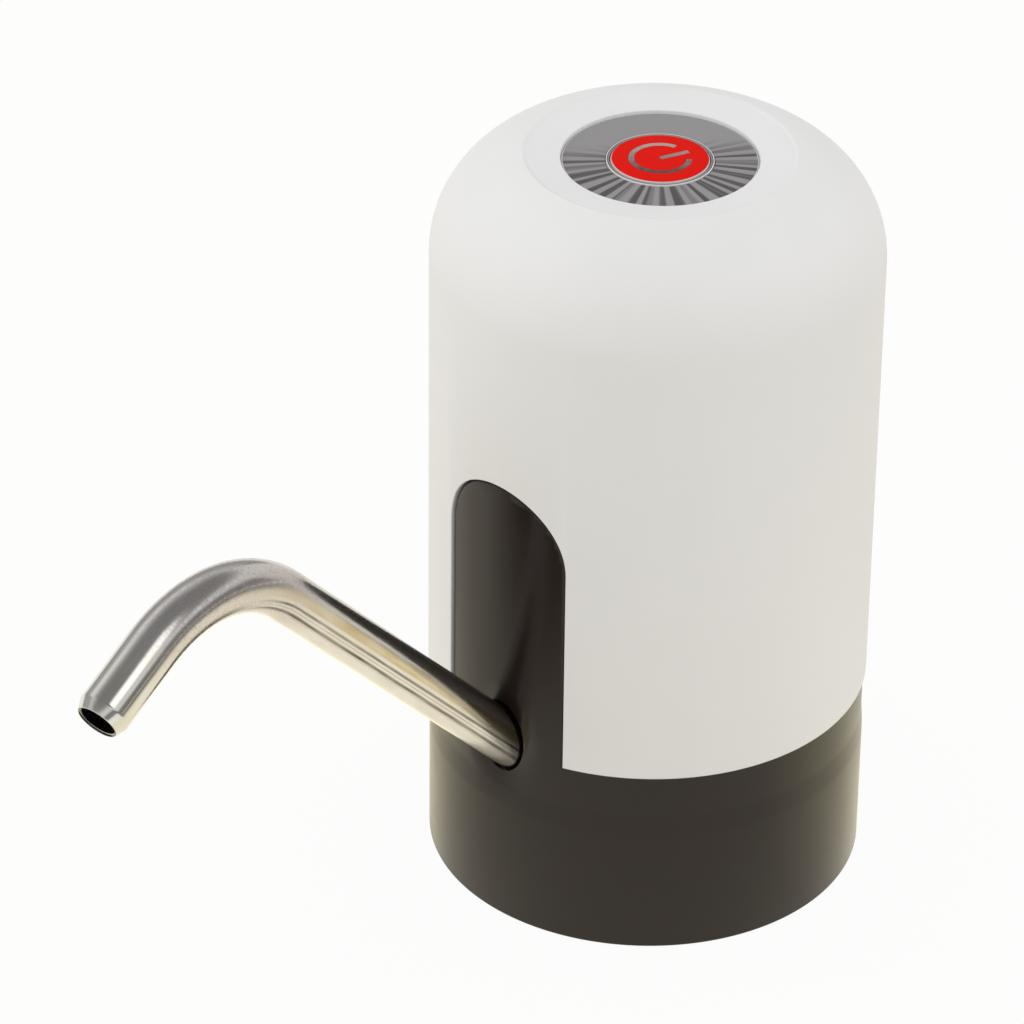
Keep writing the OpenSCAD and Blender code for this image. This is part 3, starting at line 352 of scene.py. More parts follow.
def cut(piece: Piece, tool: Piece) -> None:
    """Cuts a solid from a piece."""
    combine(piece, tool, Joining.CUT)


def moved(x: float = 0, y: float = 0, z: float = 0) -> Matrix:
    """A frame moved by millimetres."""
    return Matrix.Translation((x * MM, y * MM, z * MM))


def turned(degrees: float, reach: float = 0) -> Matrix:
    """A frame turned about the body's axis and moved out along its own X axis, in millimetres."""
    return Matrix.Rotation(math.radians(degrees), 4, "Z") @ moved(reach)


def inwards(y: float, z: float) -> Matrix:
    """A frame at the body's back with its Z axis towards the body's axis, at a place in millimetres."""
    return moved(0, y, z) @ Matrix.Rotation(math.pi / 2, 4, "X")


# Finishes


class Nodes:
    """A node tree, built node by node."""

    def __init__(self, tree: bpy.types.NodeTree) -> None:
        """Takes the tree to build on."""
        self.tree = tree

    def node(self, kind: str, inputs: dict | None = None, **options: object) -> bpy.types.Node:
        """Adds a node.

        Args:
            kind: The node's type, without its ShaderNode prefix.
            inputs: Values or sockets for its inputs, by name or number.
            options: Its other settings.

        Returns:
            The new node.
        """
        node = self.tree.nodes.new("ShaderNode" + kind)
        for option, value in options.items():
            setattr(node, option, value)
        for socket, value in (inputs or {}).items():
            if isinstance(value, Socket):
                self.tree.links.new(value, node.inputs[socket])
            else:
                node.inputs[socket].default_value = value
        return node

    def place(self) -> Socket:
        """The piece's own coordinates, in metres."""
        return self.node("TexCoord").outputs["Object"]

    def noise(self, place: Socket, size: float, detail: float = 3, stretch: Sequence[float] = (1, 1, 1)) -> Socket:
        """Noise of a grain size in millimetres, drawn out along the axes by a stretch."""
        scale = [1 / (size * MM * s) for s in stretch]
        mapped = self.node("Mapping", {"Vector": place, "Scale": scale}).outputs["Vector"]
        return self.node("TexNoise", {"Vector": mapped, "Scale": 1.0, "Detail": detail}).outputs["Fac"]

    def between(self, source: Socket, low: float, high: float, start: float = 0.3, end: float = 0.7) -> Socket:
        """Maps a source from one span of values to another."""
        values = {"Value": source, "From Min": start, "From Max": end, "To Min": low, "To Max": high}
        return self.node("MapRange", values).outputs["Result"]

    def mix(self, share: Shared, first: Tint, second: Tint, **options: object) -> Socket:
        """Mixes two colours, or sources of colour, by a share."""
        ends = [end if isinstance(end, Socket) else (*end, 1) for end in (first, second)]
        values = {"Factor": share, "A": ends[0], "B": ends[1]}
        return self.node("Mix", values, data_type="RGBA", **options).outputs["Result"]

    def maths(self, operation: str, *values: Shared) -> Socket:
        """Works out one number from others."""
        return self.node("Math", dict(enumerate(values)), operation=operation).outputs[0]

    def times(self, first: Shared, second: Shared) -> Socket:
        """The product of two numbers."""
        return self.maths("MULTIPLY", first, second)

    def part(self, place: Socket, axis: str) -> Socket:
        """One coordinate of a place."""
        return self.node("SeparateXYZ", {"Vector": place}).outputs[axis]

    def angle(self, place: Socket) -> Socket:
        """Where a place lies round the Z axis, as a share of a turn."""
        return self.node("TexGradient", {"Vector": place}, gradient_type="RADIAL").outputs["Fac"]

    def facing(self, place: Socket, degrees: float) -> Socket:
        """A place turned about the Z axis, so that a direction in degrees lies along +X."""
        values = {"Vector": place, "Rotation": (0, 0, math.radians(-degrees))}
        return self.node("Mapping", values).outputs["Vector"]

    def layer(self, share: Socket, under: Socket, over: Socket) -> Socket:
        """Lays one shader over another by a share."""
        return self.node("MixShader", {0: share, 1: under, 2: over}).outputs[0]

    def reach(self, place: Socket) -> Socket:
        """Distance of a place from the Z axis, in metres."""
        flat = self.node("VectorMath", {0: place, 1: (1, 1, 0)}, operation="MULTIPLY").outputs["Vector"]
        return self.node("VectorMath", {0: flat}, operation="LENGTH").outputs["Value"]

    def band(self, source: Socket, low: float, high: float, soft: float) -> Socket:
        """One where a source lies between two values, with soft edges of the given width, and zero elsewhere."""
        rise = self.between(source, 0, 1, low - soft / 2, low + soft / 2)
        return self.times(rise, self.between(source, 1, 0, high - soft / 2, high + soft / 2))

    def streaks(self, along: Socket, scale: float) -> Socket:
        """Noise along one number only."""
        return self.node("TexNoise", {"W": along, "Scale": scale}, noise_dimensions="1D").outputs["Fac"]


class Shader(Nodes):
    """A material with one surface shader."""

    def __init__(self, name: str) -> None:
        """Starts a material."""
        self.material = bpy.data.materials.new(name)
        self.material.use_nodes = True
        super().__init__(self.material.node_tree)
        self.surface = self.tree.nodes["Principled BSDF"]

    def set(self, **values: float | Sequence[float]) -> None:
        """Sets the surface shader's own sockets, named with _ for spaces."""
        for socket, value in values.items():
            self.surface.inputs[socket.replace("_", " ")].default_value = value

    def feed(self, socket: str, source: Socket) -> None:
        """Links a source to one of the surface shader's sockets."""
        self.tree.links.new(source, self.surface.inputs[socket])

    def replace(self, surface: Socket) -> None:
        """Puts another surface in the surface shader's place."""
        self.tree.nodes.remove(self.surface)
        self.tree.links.new(surface, self.tree.nodes["Material Output"].inputs["Surface"])

    def roughen(self, source: Socket, roughness: float, shares: Pair) -> None:
        """Varies the roughness by a source, between two shares of its level."""
        self.feed("Roughness", self.between(source, roughness * shares[0], roughness * shares[1]))

    def bump(self, height: Socket, relief: Pair) -> None:
        """Bumps the surface by a height map, with the strength and depth in millimetres of its relief."""
        values = {"Height": height, "Strength": relief[0], "Distance": relief[1] * MM}
        self.feed("Normal", self.node("Bump", values).outputs["Normal"])


def shift(colour: Colour, share: float) -> Colour:
    """A colour made lighter or darker by a share."""
    return tuple(min(1.0, c * (1 + share)) for c in colour)


@dataclass(frozen=True)
class Finish:
    """A named finish, which paints a new material."""

    name: str

    def place(self, shader: Shader) -> Socket:
        """The coordinates that the finish is laid on."""
        return shader.place()

    def paint(self, shader: Shader, place: Socket) -> None:
        """Feeds the surface shader from a place on the piece."""
        raise NotImplementedError

    def material(self) -> Material:
        """Makes the material."""
        shader = Shader(self.name)
        self.paint(shader, self.place(shader))
        return shader.material


@dataclass(frozen=True)
class Moulded(Finish):
    """Moulded plastic, silicone or rubber with a fine moulded grain and slight mottling."""

    IOR = 1.49
    GRAIN_STRENGTH = 0.5
    GRAIN_DETAIL = 2
    ROUGH_SHARES = (0.9, 1.12)
    COAT_ROUGHNESS = 0.08

    colour: Colour
    roughness: float
    grain: float = 0.3
    depth: float = 0.004
    mottle: float = 0.04
    blotch: float = 9.0
    clear: float = 0.0
    coat: float = 0.0
    shine: float = 0.5

    def face(self, shader: Shader, place: Socket, plain: Socket) -> Socket:
        """The colour of the face, from its plain mottled colour."""
        return plain

    def paint(self, shader: Shader, place: Socket) -> None:
        """Paints the mottling and the grain."""
        blotches = shader.noise(place, self.blotch)
        grain = shader.noise(place, self.grain, self.GRAIN_DETAIL)
        plain = shader.mix(blotches, shift(self.colour, -self.mottle), shift(self.colour, self.mottle))
        shader.feed("Base Color", self.face(shader, place, plain))
        shader.roughen(blotches, self.roughness, self.ROUGH_SHARES)
        shader.bump(grain, (self.GRAIN_STRENGTH, self.depth))
        shader.set(IOR=self.IOR, Specular_IOR_Level=self.shine, Transmission_Weight=self.clear)
        shader.set(Coat_Weight=self.coat, Coat_Roughness=self.COAT_ROUGHNESS)


@dataclass(frozen=True)
class HighlightedPlastic(Moulded):
    """Round moulded plastic about the body's axis, with a painted highlight: a bright line along its rounded edge."""

    depth: float = 0.003
    blotch: float = 3.0
    # Colour, place and soft edge of the painted highlight line on the rounded edge
    line: Colour = (0.7, 0.7, 0.7)
    highlight_at: Pair = (0.0, 0.0)
    highlight_soft: float = 0.06

    def face(self, shader: Shader, place: Socket, plain: Socket) -> Socket:
        """The mottled colour with the painted highlight line over it, by the distance from the body's axis."""
        low, high = self.highlight_at
        # line is the painted highlight along the rounded edge
        line = shader.band(shader.reach(place), low * MM, high * MM, self.highlight_soft * MM)
        return shader.mix(line, plain, self.line)


@dataclass(frozen=True)
class Metal(Finish):
    """Bright metal with fine drawn lines along one axis."""

    colour: Colour
    roughness: float
    stretch: Stretch = (1.0, 1.0, 14.0)
    line: float = 0.08
    relief: Pair = (0.4, 0.002)
    cloud: float = 4.0
    clouding: Pair = (-0.08, 0.05)
    rough_shares: Pair = (0.75, 1.3)

    def paint(self, shader: Shader, place: Socket) -> None:
        """Paints the clouds and the drawn lines."""
        lines = shader.noise(place, self.line, stretch=self.stretch)
        dark, light = (shift(self.colour, share) for share in self.clouding)
        shader.feed("Base Color", shader.mix(shader.noise(place, self.cloud), dark, light))
        shader.roughen(lines, self.roughness, self.rough_shares)
        shader.bump(lines, self.relief)
        shader.set(Metallic=1.0)


@dataclass(frozen=True)
class BentSteel(Finish):
    """Satin stainless tube: dark lines along one side of its run and a straw stripe, both painted reflections, faint
    random straw tint clouds, and a grain where it was bent.

    Each line, a painted reflection, has its place round the tube and its width, in degrees, its depth of tone, and its
    ends along.
    """

    name: str = "stainless_tube"
    colour: Colour = (0.81, 0.795, 0.76)
    # Tint of the stripe painted as a warm reflection, and of the faint random tint clouds
    straw: Colour = (0.52, 0.44, 0.26)
    rosy: Colour = (0.6, 0.55, 0.54)
    # Colour of the dark lines, which are painted reflections
    line: Colour = (0.11, 0.085, 0.05)
    roughness: float = 0.16
    bend_at: Pair = (67.0, 103.0)
    bend_fade: float = 10.0
    # The dark lines painted as reflections along one side of the run
    lines: tuple[tuple[float, float, float, float, float], ...] = (
        (-18.5, 6.0, 0.9, -20, 78),
        (-27.5, 2.5, 0.4, -20, 78),
        (-38.5, 8.0, 1.0, -20, 82),
        (-46.0, 2.0, 0.3, -20, 82),
    )
    reflection_line_fade: float = 8.0
    reflection_line_least: float = 0.55
    reflection_breakup: float = 0.5
    reflection_breakup_stretch: Stretch = (1, 1, 12)
    # Angles, soft edge and ends of the stripe painted as a warm reflection along the run
    reflection_and_tint: Pair = (-8.0, 16.0)
    reflection_soft: float = 5.0
    reflection_ends: Pair = (-20.0, 82.0)
    reflection_end_fade: float = 20.0
    reflection_and_tint_least: float = 0.6
    cloud: float = 2.2
    cloud_stretch: Stretch = (1, 1, 3)
    cloud_stain: float = 0.3
    cloud_edges: Pair = (0.35, 0.6)
    pebble: float = 0.4
    pebble_detail: float = 5
    pebble_tint: Pair = (0.2, 0.9)
    pebble_flat: float = 0.3
    relief: Pair = (0.3, 0.03)
    scratch: float = 0.1
    scratch_stretch: Stretch = (1, 1, 60)
    smooth_shares: Pair = (0.8, 1.3)
    grainy_shares: Pair = (1.0, 1.8)

    def place(self, shader: Shader) -> Socket:
        """The tube's own straightened coordinates."""
        return shader.node("Attribute", attribute_name=Spout.RUN).outputs["Vector"]

    def drawn(self, shader: Shader, place: Socket) -> Socket:
        """How deep the dark lines, painted as reflections, are at a place on the straightened tube."""
        angle, along = shader.angle(place), shader.part(place, "Z")
        total = 0.0
        for at, width, depth, start, end in self.lines:
            middle, half = 0.5 + at / 360, width / 720
            line = shader.band(angle, middle - half, middle + half, half)
            line = shader.times(line, shader.band(along, start * MM, end * MM, self.reflection_line_fade * MM))
            total = shader.maths("MAXIMUM", total, shader.times(line, depth))
        # Noise that breaks up the painted reflection lines
        reflection_share = shader.noise(place, self.reflection_breakup, stretch=self.reflection_breakup_stretch)
        return shader.times(total, shader.between(reflection_share, self.reflection_line_least, 1))

    def reflected_and_tinted(self, shader: Shader, place: Socket, clouds: Socket) -> Socket:
        """How far the tube is tinted straw at a place: a stripe along its run, which is a painted warm reflection, and
        faint random tint clouds all over.
        """
        low, high = (0.5 + edge / 360 for edge in self.reflection_and_tint)
        start, end = self.reflection_ends
        # The stripe is a painted warm reflection; the clouds are random tint
        stripe = shader.band(shader.angle(place), low, high, self.reflection_soft / 360)
        stripe = shader.times(stripe, shader.band(shader.part(place, "Z"), start * MM, end * MM, self.reflection_end_fade * MM))
        reflection_and_tint = shader.maths("MAXIMUM", stripe, shader.between(clouds, self.cloud_stain, 0, *self.cloud_edges))
        return shader.times(reflection_and_tint, shader.between(clouds, self.reflection_and_tint_least, 1))

    def paint(self, shader: Shader, place: Socket) -> None:
        """Paints the straw stripe as a painted warm reflection with random tint clouds, the bend's grain and the dark
        lines as painted reflections.
        """
        bend_from, bend_to = self.bend_at
        bend = shader.band(shader.part(place, "Z"), bend_from * MM, bend_to * MM, self.bend_fade * MM)
        pebble = shader.noise(place, self.pebble, self.pebble_detail)
        clouds = shader.noise(place, self.cloud, stretch=self.cloud_stretch)
        # Straw stripe painted as a warm reflection, over random tint clouds
        colour = shader.mix(self.reflected_and_tinted(shader, place, clouds), self.colour, self.straw)
        colour = shader.mix(shader.times(bend, shader.between(pebble, *self.pebble_tint)), colour, self.rosy)
        # The dark lines painted as reflections go over the colour
        shader.feed("Base Color", shader.mix(self.drawn(shader, place), colour, self.line))
        scratches = shader.noise(place, self.scratch, stretch=self.scratch_stretch)
        smooth = shader.between(scratches, *(self.roughness * share for share in self.smooth_shares))
        grainy = shader.between(pebble, *(self.roughness * share for share in self.grainy_shares))
        values = {"Factor": bend, "A": smooth, "B": grainy}
        shader.feed("Roughness", shader.node("Mix", values, data_type="FLOAT").outputs["Result"])
        shader.bump(shader.times(pebble, shader.between(bend, self.pebble_flat, 1, 0, 1)), self.relief)
        shader.set(Metallic=1.0)


@dataclass(frozen=True)
class SilverFoil(Finish):
    """A silver label face, brushed out from its middle, with darker rays over its front and sides, and a painted
    highlight along its rim.
    """

    name: str = "label_silver"
    colour: Colour = (0.355, 0.345, 0.35)
    dark: Colour = (0.115, 0.1, 0.107)
    # Colour, radius and soft edge of the painted highlight along the label's rim
    edge: Colour = (0.75, 0.74, 0.73)
    rim_highlight_r: float = 15.42
    rim_highlight_soft: float = 0.06
    brushing: float = 0.12
    roughness: float = 0.36
    rough_shares: Pair = (0.85, 1.2)
    relief: Pair = (0.25, 0.003)
    metallic: float = 0.4
    shine: float = 0.2
    front: float = -40.0
    rays: int = 37
    ray_edges: Pair = (-0.45, 0.2)
    wander: float = 5.0
    wander_scale: float = 24.0
    least: float = 0.45
    least_edges: Pair = (0.36, 0.52)
    least_scale: float = 31.0
    lines: float = 420.0
    back_edge: float = -6.0
    side_edge: float = 0.0

    def paint(self, shader: Shader, place: Socket) -> None:
        """Paints the brushing, the rays and the painted rim highlight on polar coordinates about the body's axis."""
        facing = shader.facing(place, self.front)
        angle = shader.angle(facing)
        uneven = shader.times(shader.streaks(angle, self.wander_scale), self.wander)
        phase = shader.maths("ADD", shader.times(angle, TURN * self.rays), uneven)
        ray = shader.between(shader.maths("SINE", phase), 0, 1, *self.ray_edges)
        deep = shader.between(shader.streaks(angle, self.least_scale), self.least, 1, *self.least_edges)
        front = shader.between(shader.part(facing, "X"), 0, 1, self.back_edge * MM, self.side_edge * MM)
        ray = shader.times(shader.times(ray, deep), front)
        fine = shader.streaks(angle, self.lines)
        brushed = shader.mix(fine, shift(self.colour, -self.brushing), shift(self.colour, self.brushing))
        # rim is the painted highlight along the label's rounded edge
        rim = shader.between(shader.reach(place), 0, 1, self.rim_highlight_r * MM, (self.rim_highlight_r + self.rim_highlight_soft) * MM)
        shader.feed("Base Color", shader.mix(rim, shader.mix(ray, brushed, self.dark), self.edge))
        shader.roughen(fine, self.roughness, self.rough_shares)
        shader.bump(fine, self.relief)
        shader.set(Metallic=self.metallic, Specular_IOR_Level=self.shine)


@dataclass(frozen=True)
class StampedFoil(Finish):
    """A stamped silver foil with a painted reflection: light at its back and dark at its front."""

    name: str = "symbol_silver"
    # Light and dark colours of the painted reflection
    light: Colour = (0.5, 0.4, 0.38)
    dark: Colour = (0.13, 0.075, 0.065)
    front: float = -48.0
    reach: float = 4.0
    speck: float = 0.8
    uneven: float = 1.2
    roughness: Pair = (0.3, 0.45)
    grain: float = 0.15
    relief: Pair = (0.3, 0.004)
    metallic: float = 0.35
    shine: float = 0.2

    def paint(self, shader: Shader, place: Socket) -> None:
        """Paints the reflection, light at the back and dark at the front, along the direction that the foil faces."""
        specks = shader.noise(place, self.speck)
        uneven = shader.between(specks, -self.uneven * MM, self.uneven * MM)
        forward = shader.maths("ADD", shader.part(shader.facing(place, self.front), "X"), uneven)
        # Share of the light colour: a painted reflection that darkens towards the front
        reflection_share = shader.between(forward, 1, 0, -self.reach * MM, self.reach * MM)
        shader.feed("Base Color", shader.mix(reflection_share, self.dark, self.light))
        shader.feed("Roughness", shader.between(specks, *self.roughness))
        shader.bump(shader.noise(place, self.grain), self.relief)
        shader.set(Metallic=self.metallic, Specular_IOR_Level=self.shine)


@dataclass(frozen=True)
class Board(Finish):
    """A circuit board with a lacquer over fine copper tracks."""

    name: str = "circuit_board"
    colour: Colour = (0.012, 0.11, 0.05)
    track: Colour = (0.03, 0.19, 0.08)
    scale: float = 320.0
    track_w: float = 0.03
    track_soft: float = 0.2
    lacquer: float = 1.2
    roughness: Pair = (0.28, 0.4)
    relief: Pair = (0.4, 0.02)

    def paint(self, shader: Shader, place: Socket) -> None:
        """Paints the tracks under their lacquer."""
        values = {"Vector": place, "Scale": self.scale, "Mortar Size": self.track_w, "Mortar Smooth": self.track_soft}
        tracks = shader.node("TexBrick", values).outputs["Fac"]
        shader.feed("Base Color", shader.mix(tracks, self.colour, self.track))
        shader.feed("Roughness", shader.between(shader.noise(place, self.lacquer), *self.roughness))
        shader.bump(tracks, self.relief)


@dataclass(frozen=True)
class Wound(Finish):
    """Enamelled wire laid turn by turn."""

    name: str = "copper"
    colour: Colour = (0.62, 0.26, 0.1)
    pitch: float = 0.35
    scale: float = 0.32
    wander: float = 0.6
    gap_tone: float = -0.45
    roughness: Pair = (0.45, 0.25)
    relief: Pair = (0.6, 0.12)
    metallic: float = 0.85

    def paint(self, shader: Shader, place: Socket) -> None:
        """Paints the turns of the wire."""
        mapped = shader.node("Mapping", {"Vector": place, "Scale": [1 / (self.pitch * MM)] * 3}).outputs["Vector"]
        values = {"Vector": mapped, "Scale": self.scale, "Distortion": self.wander}
        turns = shader.node("TexWave", values, bands_direction="Z").outputs["Fac"]
        shader.feed("Base Color", shader.mix(turns, shift(self.colour, self.gap_tone), self.colour))
        shader.feed("Roughness", shader.between(turns, *self.roughness))
        shader.bump(turns, self.relief)
        shader.set(Metallic=self.metallic)


MADE = (
    Moulded("white_shell", (0.8, 0.798, 0.795), 0.5, grain=0.25, depth=0.003, mottle=0.012),
    Moulded("dark_base", (0.015, 0.0095, 0.0075), 0.22, depth=0.002, mottle=0.12, shine=0.36),
    BentSteel(),
    SilverFoil(),
    # The red button and the clear ring carry painted highlight lines on their rounded edges
    HighlightedPlastic("button_red", (0.72, 0.009, 0.005), 0.4, shine=0.015, line=(0.58, 0.56, 0.56), highlight_at=(7.72, 7.95)),
    StampedFoil(),
    HighlightedPlastic("clear_ring", (0.3, 0.28, 0.285), 0.2, shine=0.3, line=(0.78, 0.77, 0.77), highlight_at=(8.44, 8.7)),
    Moulded("seal_rubber", (0.02, 0.019, 0.018), 0.55, depth=0.01),
    Moulded("hose_silicone", (0.66, 0.64, 0.6), 0.42, clear=0.3),
    Moulded("pump_plastic", (0.62, 0.6, 0.55), 0.42),
    Moulded("gear_plastic", (0.8, 0.77, 0.7), 0.4),
    Metal("steel_screw", (0.6, 0.6, 0.6), 0.28),
    Metal("motor_steel", (0.5, 0.5, 0.5), 0.34),
    Metal("shaft_steel", (0.66, 0.66, 0.65), 0.2),
    Wound(),
    Metal("bronze", (0.55, 0.38, 0.16), 0.36, stretch=(1, 1, 1)),
    Moulded("magnet_ferrite", (0.05, 0.05, 0.052), 0.6, depth=0.02),
    Moulded("dark_plastic", (0.025, 0.025, 0.026), 0.45),
    Moulded("cradle_plastic", (0.74, 0.73, 0.7), 0.42),
    Moulded("cell_wrap", (0.03, 0.16, 0.36), 0.3, coat=0.4),
    Board(),
    Moulded("lamp_plastic", (0.82, 0.78, 0.55), 0.3, clear=0.2),
    Moulded("lead_red", (0.45, 0.02, 0.015), 0.45),
    Moulded("lead_white", (0.72, 0.72, 0.7), 0.45),
)
FINISHES = {finish.name: finish for finish in MADE}


class FinishShelf:
    """Makes each finish once, and dresses pieces in them."""

    def __init__(self) -> None:
        """Starts with no material made."""
        self.made: dict[str, Material] = {}

    def get(self, slot: str) -> Material:
        """The material of a slot of the record."""
        if slot not in self.made:
            self.made[slot] = FINISHES[slot].material()
        return self.made[slot]

    def dress(self, piece: Piece, body: str, slot: str, *nodes: str) -> None:
        """Smooths a finished piece, apart from its creases, dresses it and ties it to the frame.

        Args:
            piece: The finished piece.
            body: The body that it moves with.
            slot: The record's material slot.
            nodes: The solids that it stands for.
        """
        select_only(piece)
        bpy.ops.object.shade_smooth_by_angle(angle=math.radians(CREASE))
        piece.data.materials.clear()
        piece.data.materials.append(self.get(slot))
        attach(piece, body)
        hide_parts(*nodes)
        LOG.info("%s: %d faces on %s", piece.name, len(piece.data.polygons), body)


# Sub-assemblies


def arch_ring(half: float, foot: float, reach: float, arch_z: float, steps: int = 48) -> list[Vector]:
    """An arch outline wrapped on a cylinder about the body's axis, on its -Y side.

    Args:
        half: Half width of the arch.
        foot: Height of its foot.
        reach: Radius of the cylinder.
        arch_z: Height of the centre of the arch's round top.
        steps: Straight pieces in the round top.

    Returns:
        The outline's points, in millimetres.
    """
    sides = 10
    flat = [(half * 0.5, foot), (half, foot)]
    flat += [(half, foot + (arch_z - foot) * i / sides) for i in range(1, sides)]
    flat += arc((0, arch_z), half, 0, 180, steps)
    flat += [(-half, foot + (arch_z - foot) * i / sides) for i in range(sides - 1, 0, -1)]
    flat += [(-half, foot), (-half * 0.5, foot)]
    return [Vector((x, -math.sqrt(reach**2 - x**2), z)) for x, z in flat]


def eased(face: float, radius: float, turns: Sequence[float]) -> list[Pair]:
    """Rounds an edge up to a face: how far it draws back, and its distance from the axis, at each turn in degrees."""
    bends = [math.radians(degrees) for degrees in turns]
    return [(radius * (1 - math.cos(bend)), face - radius + radius * math.sin(bend)) for bend in bends]


@dataclass
class Shell:
    """The white outer shell: straight wall, rounded shoulder, dished top, arched window and charging recess."""

    body: BodySizes
    crest_step: float = 0.3
    crest_run: float = 0.6
    crest_round: float = 0.4
    step_round: float = 0.5
    well_round: float = 0.2
    shoulder_steps: int = 40
    inner_steps: int = 20
    seam_round: float = 0.3
    window_round: float = 0.22
    window_flare: float = 2.0
    window_turns: tuple[float, ...] = (0.0, 25.0, 50.0, 75.0)
    window_reach: Pair = (-6.0, 3.0)
    window_drop: float = 3.0
    column_r: float = 2.3
    column_len: float = 29.5
    column_web: float = 1.4
    web_z: float = 37.0
    web_drop: float = 0.2
    pilot_len: float = 11.0
    panel_post_r: float = 2.0
    panel_post_d: float = 13.0
    panel_post_az: tuple[float, ...] = (30.0, 150.0, 270.0)
    panel_drop: float = 6.7
    panel_root: float = 0.5
    usb_hole: Pair = (8.4, 3.5)
    usb_recess: Pair = (11.2, 6.3)
    usb_corner: float = 1.35
    usb_depth: float = 0.8

    def section(self) -> list[Corner]:
        """Section of the shell, outside and inside."""
        b = self.body
        middle = (b.shoulder_d, b.shoulder_z)
        crest = math.degrees(math.acos((b.crest_r - b.shoulder_d) / b.shoulder_r))
        inner_r = b.shoulder_r - b.shell_wall
        ceiling = math.degrees(math.asin((b.ceiling_z - b.shoulder_z) / inner_r))
        return [
            (b.shell_r, b.seam_z, self.seam_round),
            *arc(middle, b.shoulder_r, 0, crest, self.shoulder_steps)[:-1],
            (b.crest_r, b.crest_z, self.crest_round),
            (b.crest_r - self.crest_run, b.crest_z - self.crest_step, self.step_round),
            (b.well_r, b.well_z, self.well_round),
            (b.well_r, b.roof_z),
            (b.light_hole, b.roof_z),
            (b.light_hole, b.ceiling_z),
            *arc(middle, inner_r, ceiling, 0, self.inner_steps),
            (b.shell_in, b.seam_z),
        ]

    def window(self) -> Piece:
        """The window's cutter, flared at the outer face so that the cut edge is rounded."""
        b = self.body
        foot, flare = b.seam_z - self.window_drop, self.window_flare * self.window_round
        inside, outside = self.window_reach
        steps = [(0.0, b.shell_in + inside), *eased(b.shell_r, self.window_round, self.window_turns)]
        steps += [(flare, b.shell_r + LAP), (flare, b.shell_r + outside)]
        rings = [arch_ring(b.window_half + grow, foot, reach, b.window_z) for grow, reach in steps]
        return loft("window_cutter", rings)

    def add_columns(self, piece: Piece) -> None:
        """Adds the screw columns and the button board's posts, with their pilot holes."""
        b = self.body
        top = b.floor_z + self.column_len
        for az in b.column_az:
            place = turned(az, b.column_d)
            add(piece, rod(self.column_r, b.floor_z, top, place))
            low = (0, -self.column_web / 2, self.web_z)
            high = (b.shell_in + b.shell_wall / 2 - b.column_d, self.column_web / 2, top - self.web_drop)
            add(piece, block(low, high, place))
            cut(piece, rod(b.pilot_r, b.floor_z - PAST, b.floor_z + self.pilot_len, place))
        foot = b.ceiling_z - self.panel_drop
        for az in self.panel_post_az:
            place = turned(az, self.panel_post_d)
            add(piece, rod(self.panel_post_r, foot, b.ceiling_z + self.panel_root, place))
            cut(piece, rod(b.pilot_r, foot - PAST, b.ceiling_z - PAST, place))

    def cut_port(self, piece: Piece) -> None:
        """Cuts the charging port's hole and the recess round it."""
        b = self.body
        face = inwards(b.shell_r + PAST, b.usb_z)
        for size, depth in ((self.usb_hole, b.shell_wall + 2 * PAST), (self.usb_recess, self.usb_depth)):
            outline = round_rectangle(*size, self.usb_corner)
            cut(piece, prism("port_cutter", outline, depth + PAST, face))

    def build(self, shelf: FinishShelf) -> None:
        """Builds and dresses the shell."""
        piece = revolve("white_shell", self.section())
        self.add_columns(piece)
        cut(piece, self.window())
        self.cut_port(piece)
        shelf.dress(piece, "housing", "white_shell", "outer_shell")


def round_rectangle(width: float, height: float, radius: float) -> list[Vector]:
    """A rectangle about the origin with rounded corners, in millimetres."""
    x, y = width / 2, height / 2
    return rounded([(x, -y, radius), (x, y, radius), (-x, y, radius), (-x, -y, radius)], 8)


@dataclass
class SpoutSeat:
    """The spout's own frame on the base: where its axis meets the mouth, and how it leans."""

    mouth: tuple[float, float, float] = (0.0, -35.0, 34.3)
    rise: float = 45.7
    tube_r: float = 4.15
    depth: float = 9.5
    turn: float = 7.0

    def frame(self) -> Matrix:
        """The frame with +Z out along the spout's axis and +Y up and inwards."""
        return Matrix.Translation(Vector(self.mouth) * MM) @ Matrix.Rotation(math.radians(90 - self.rise), 4, "X")


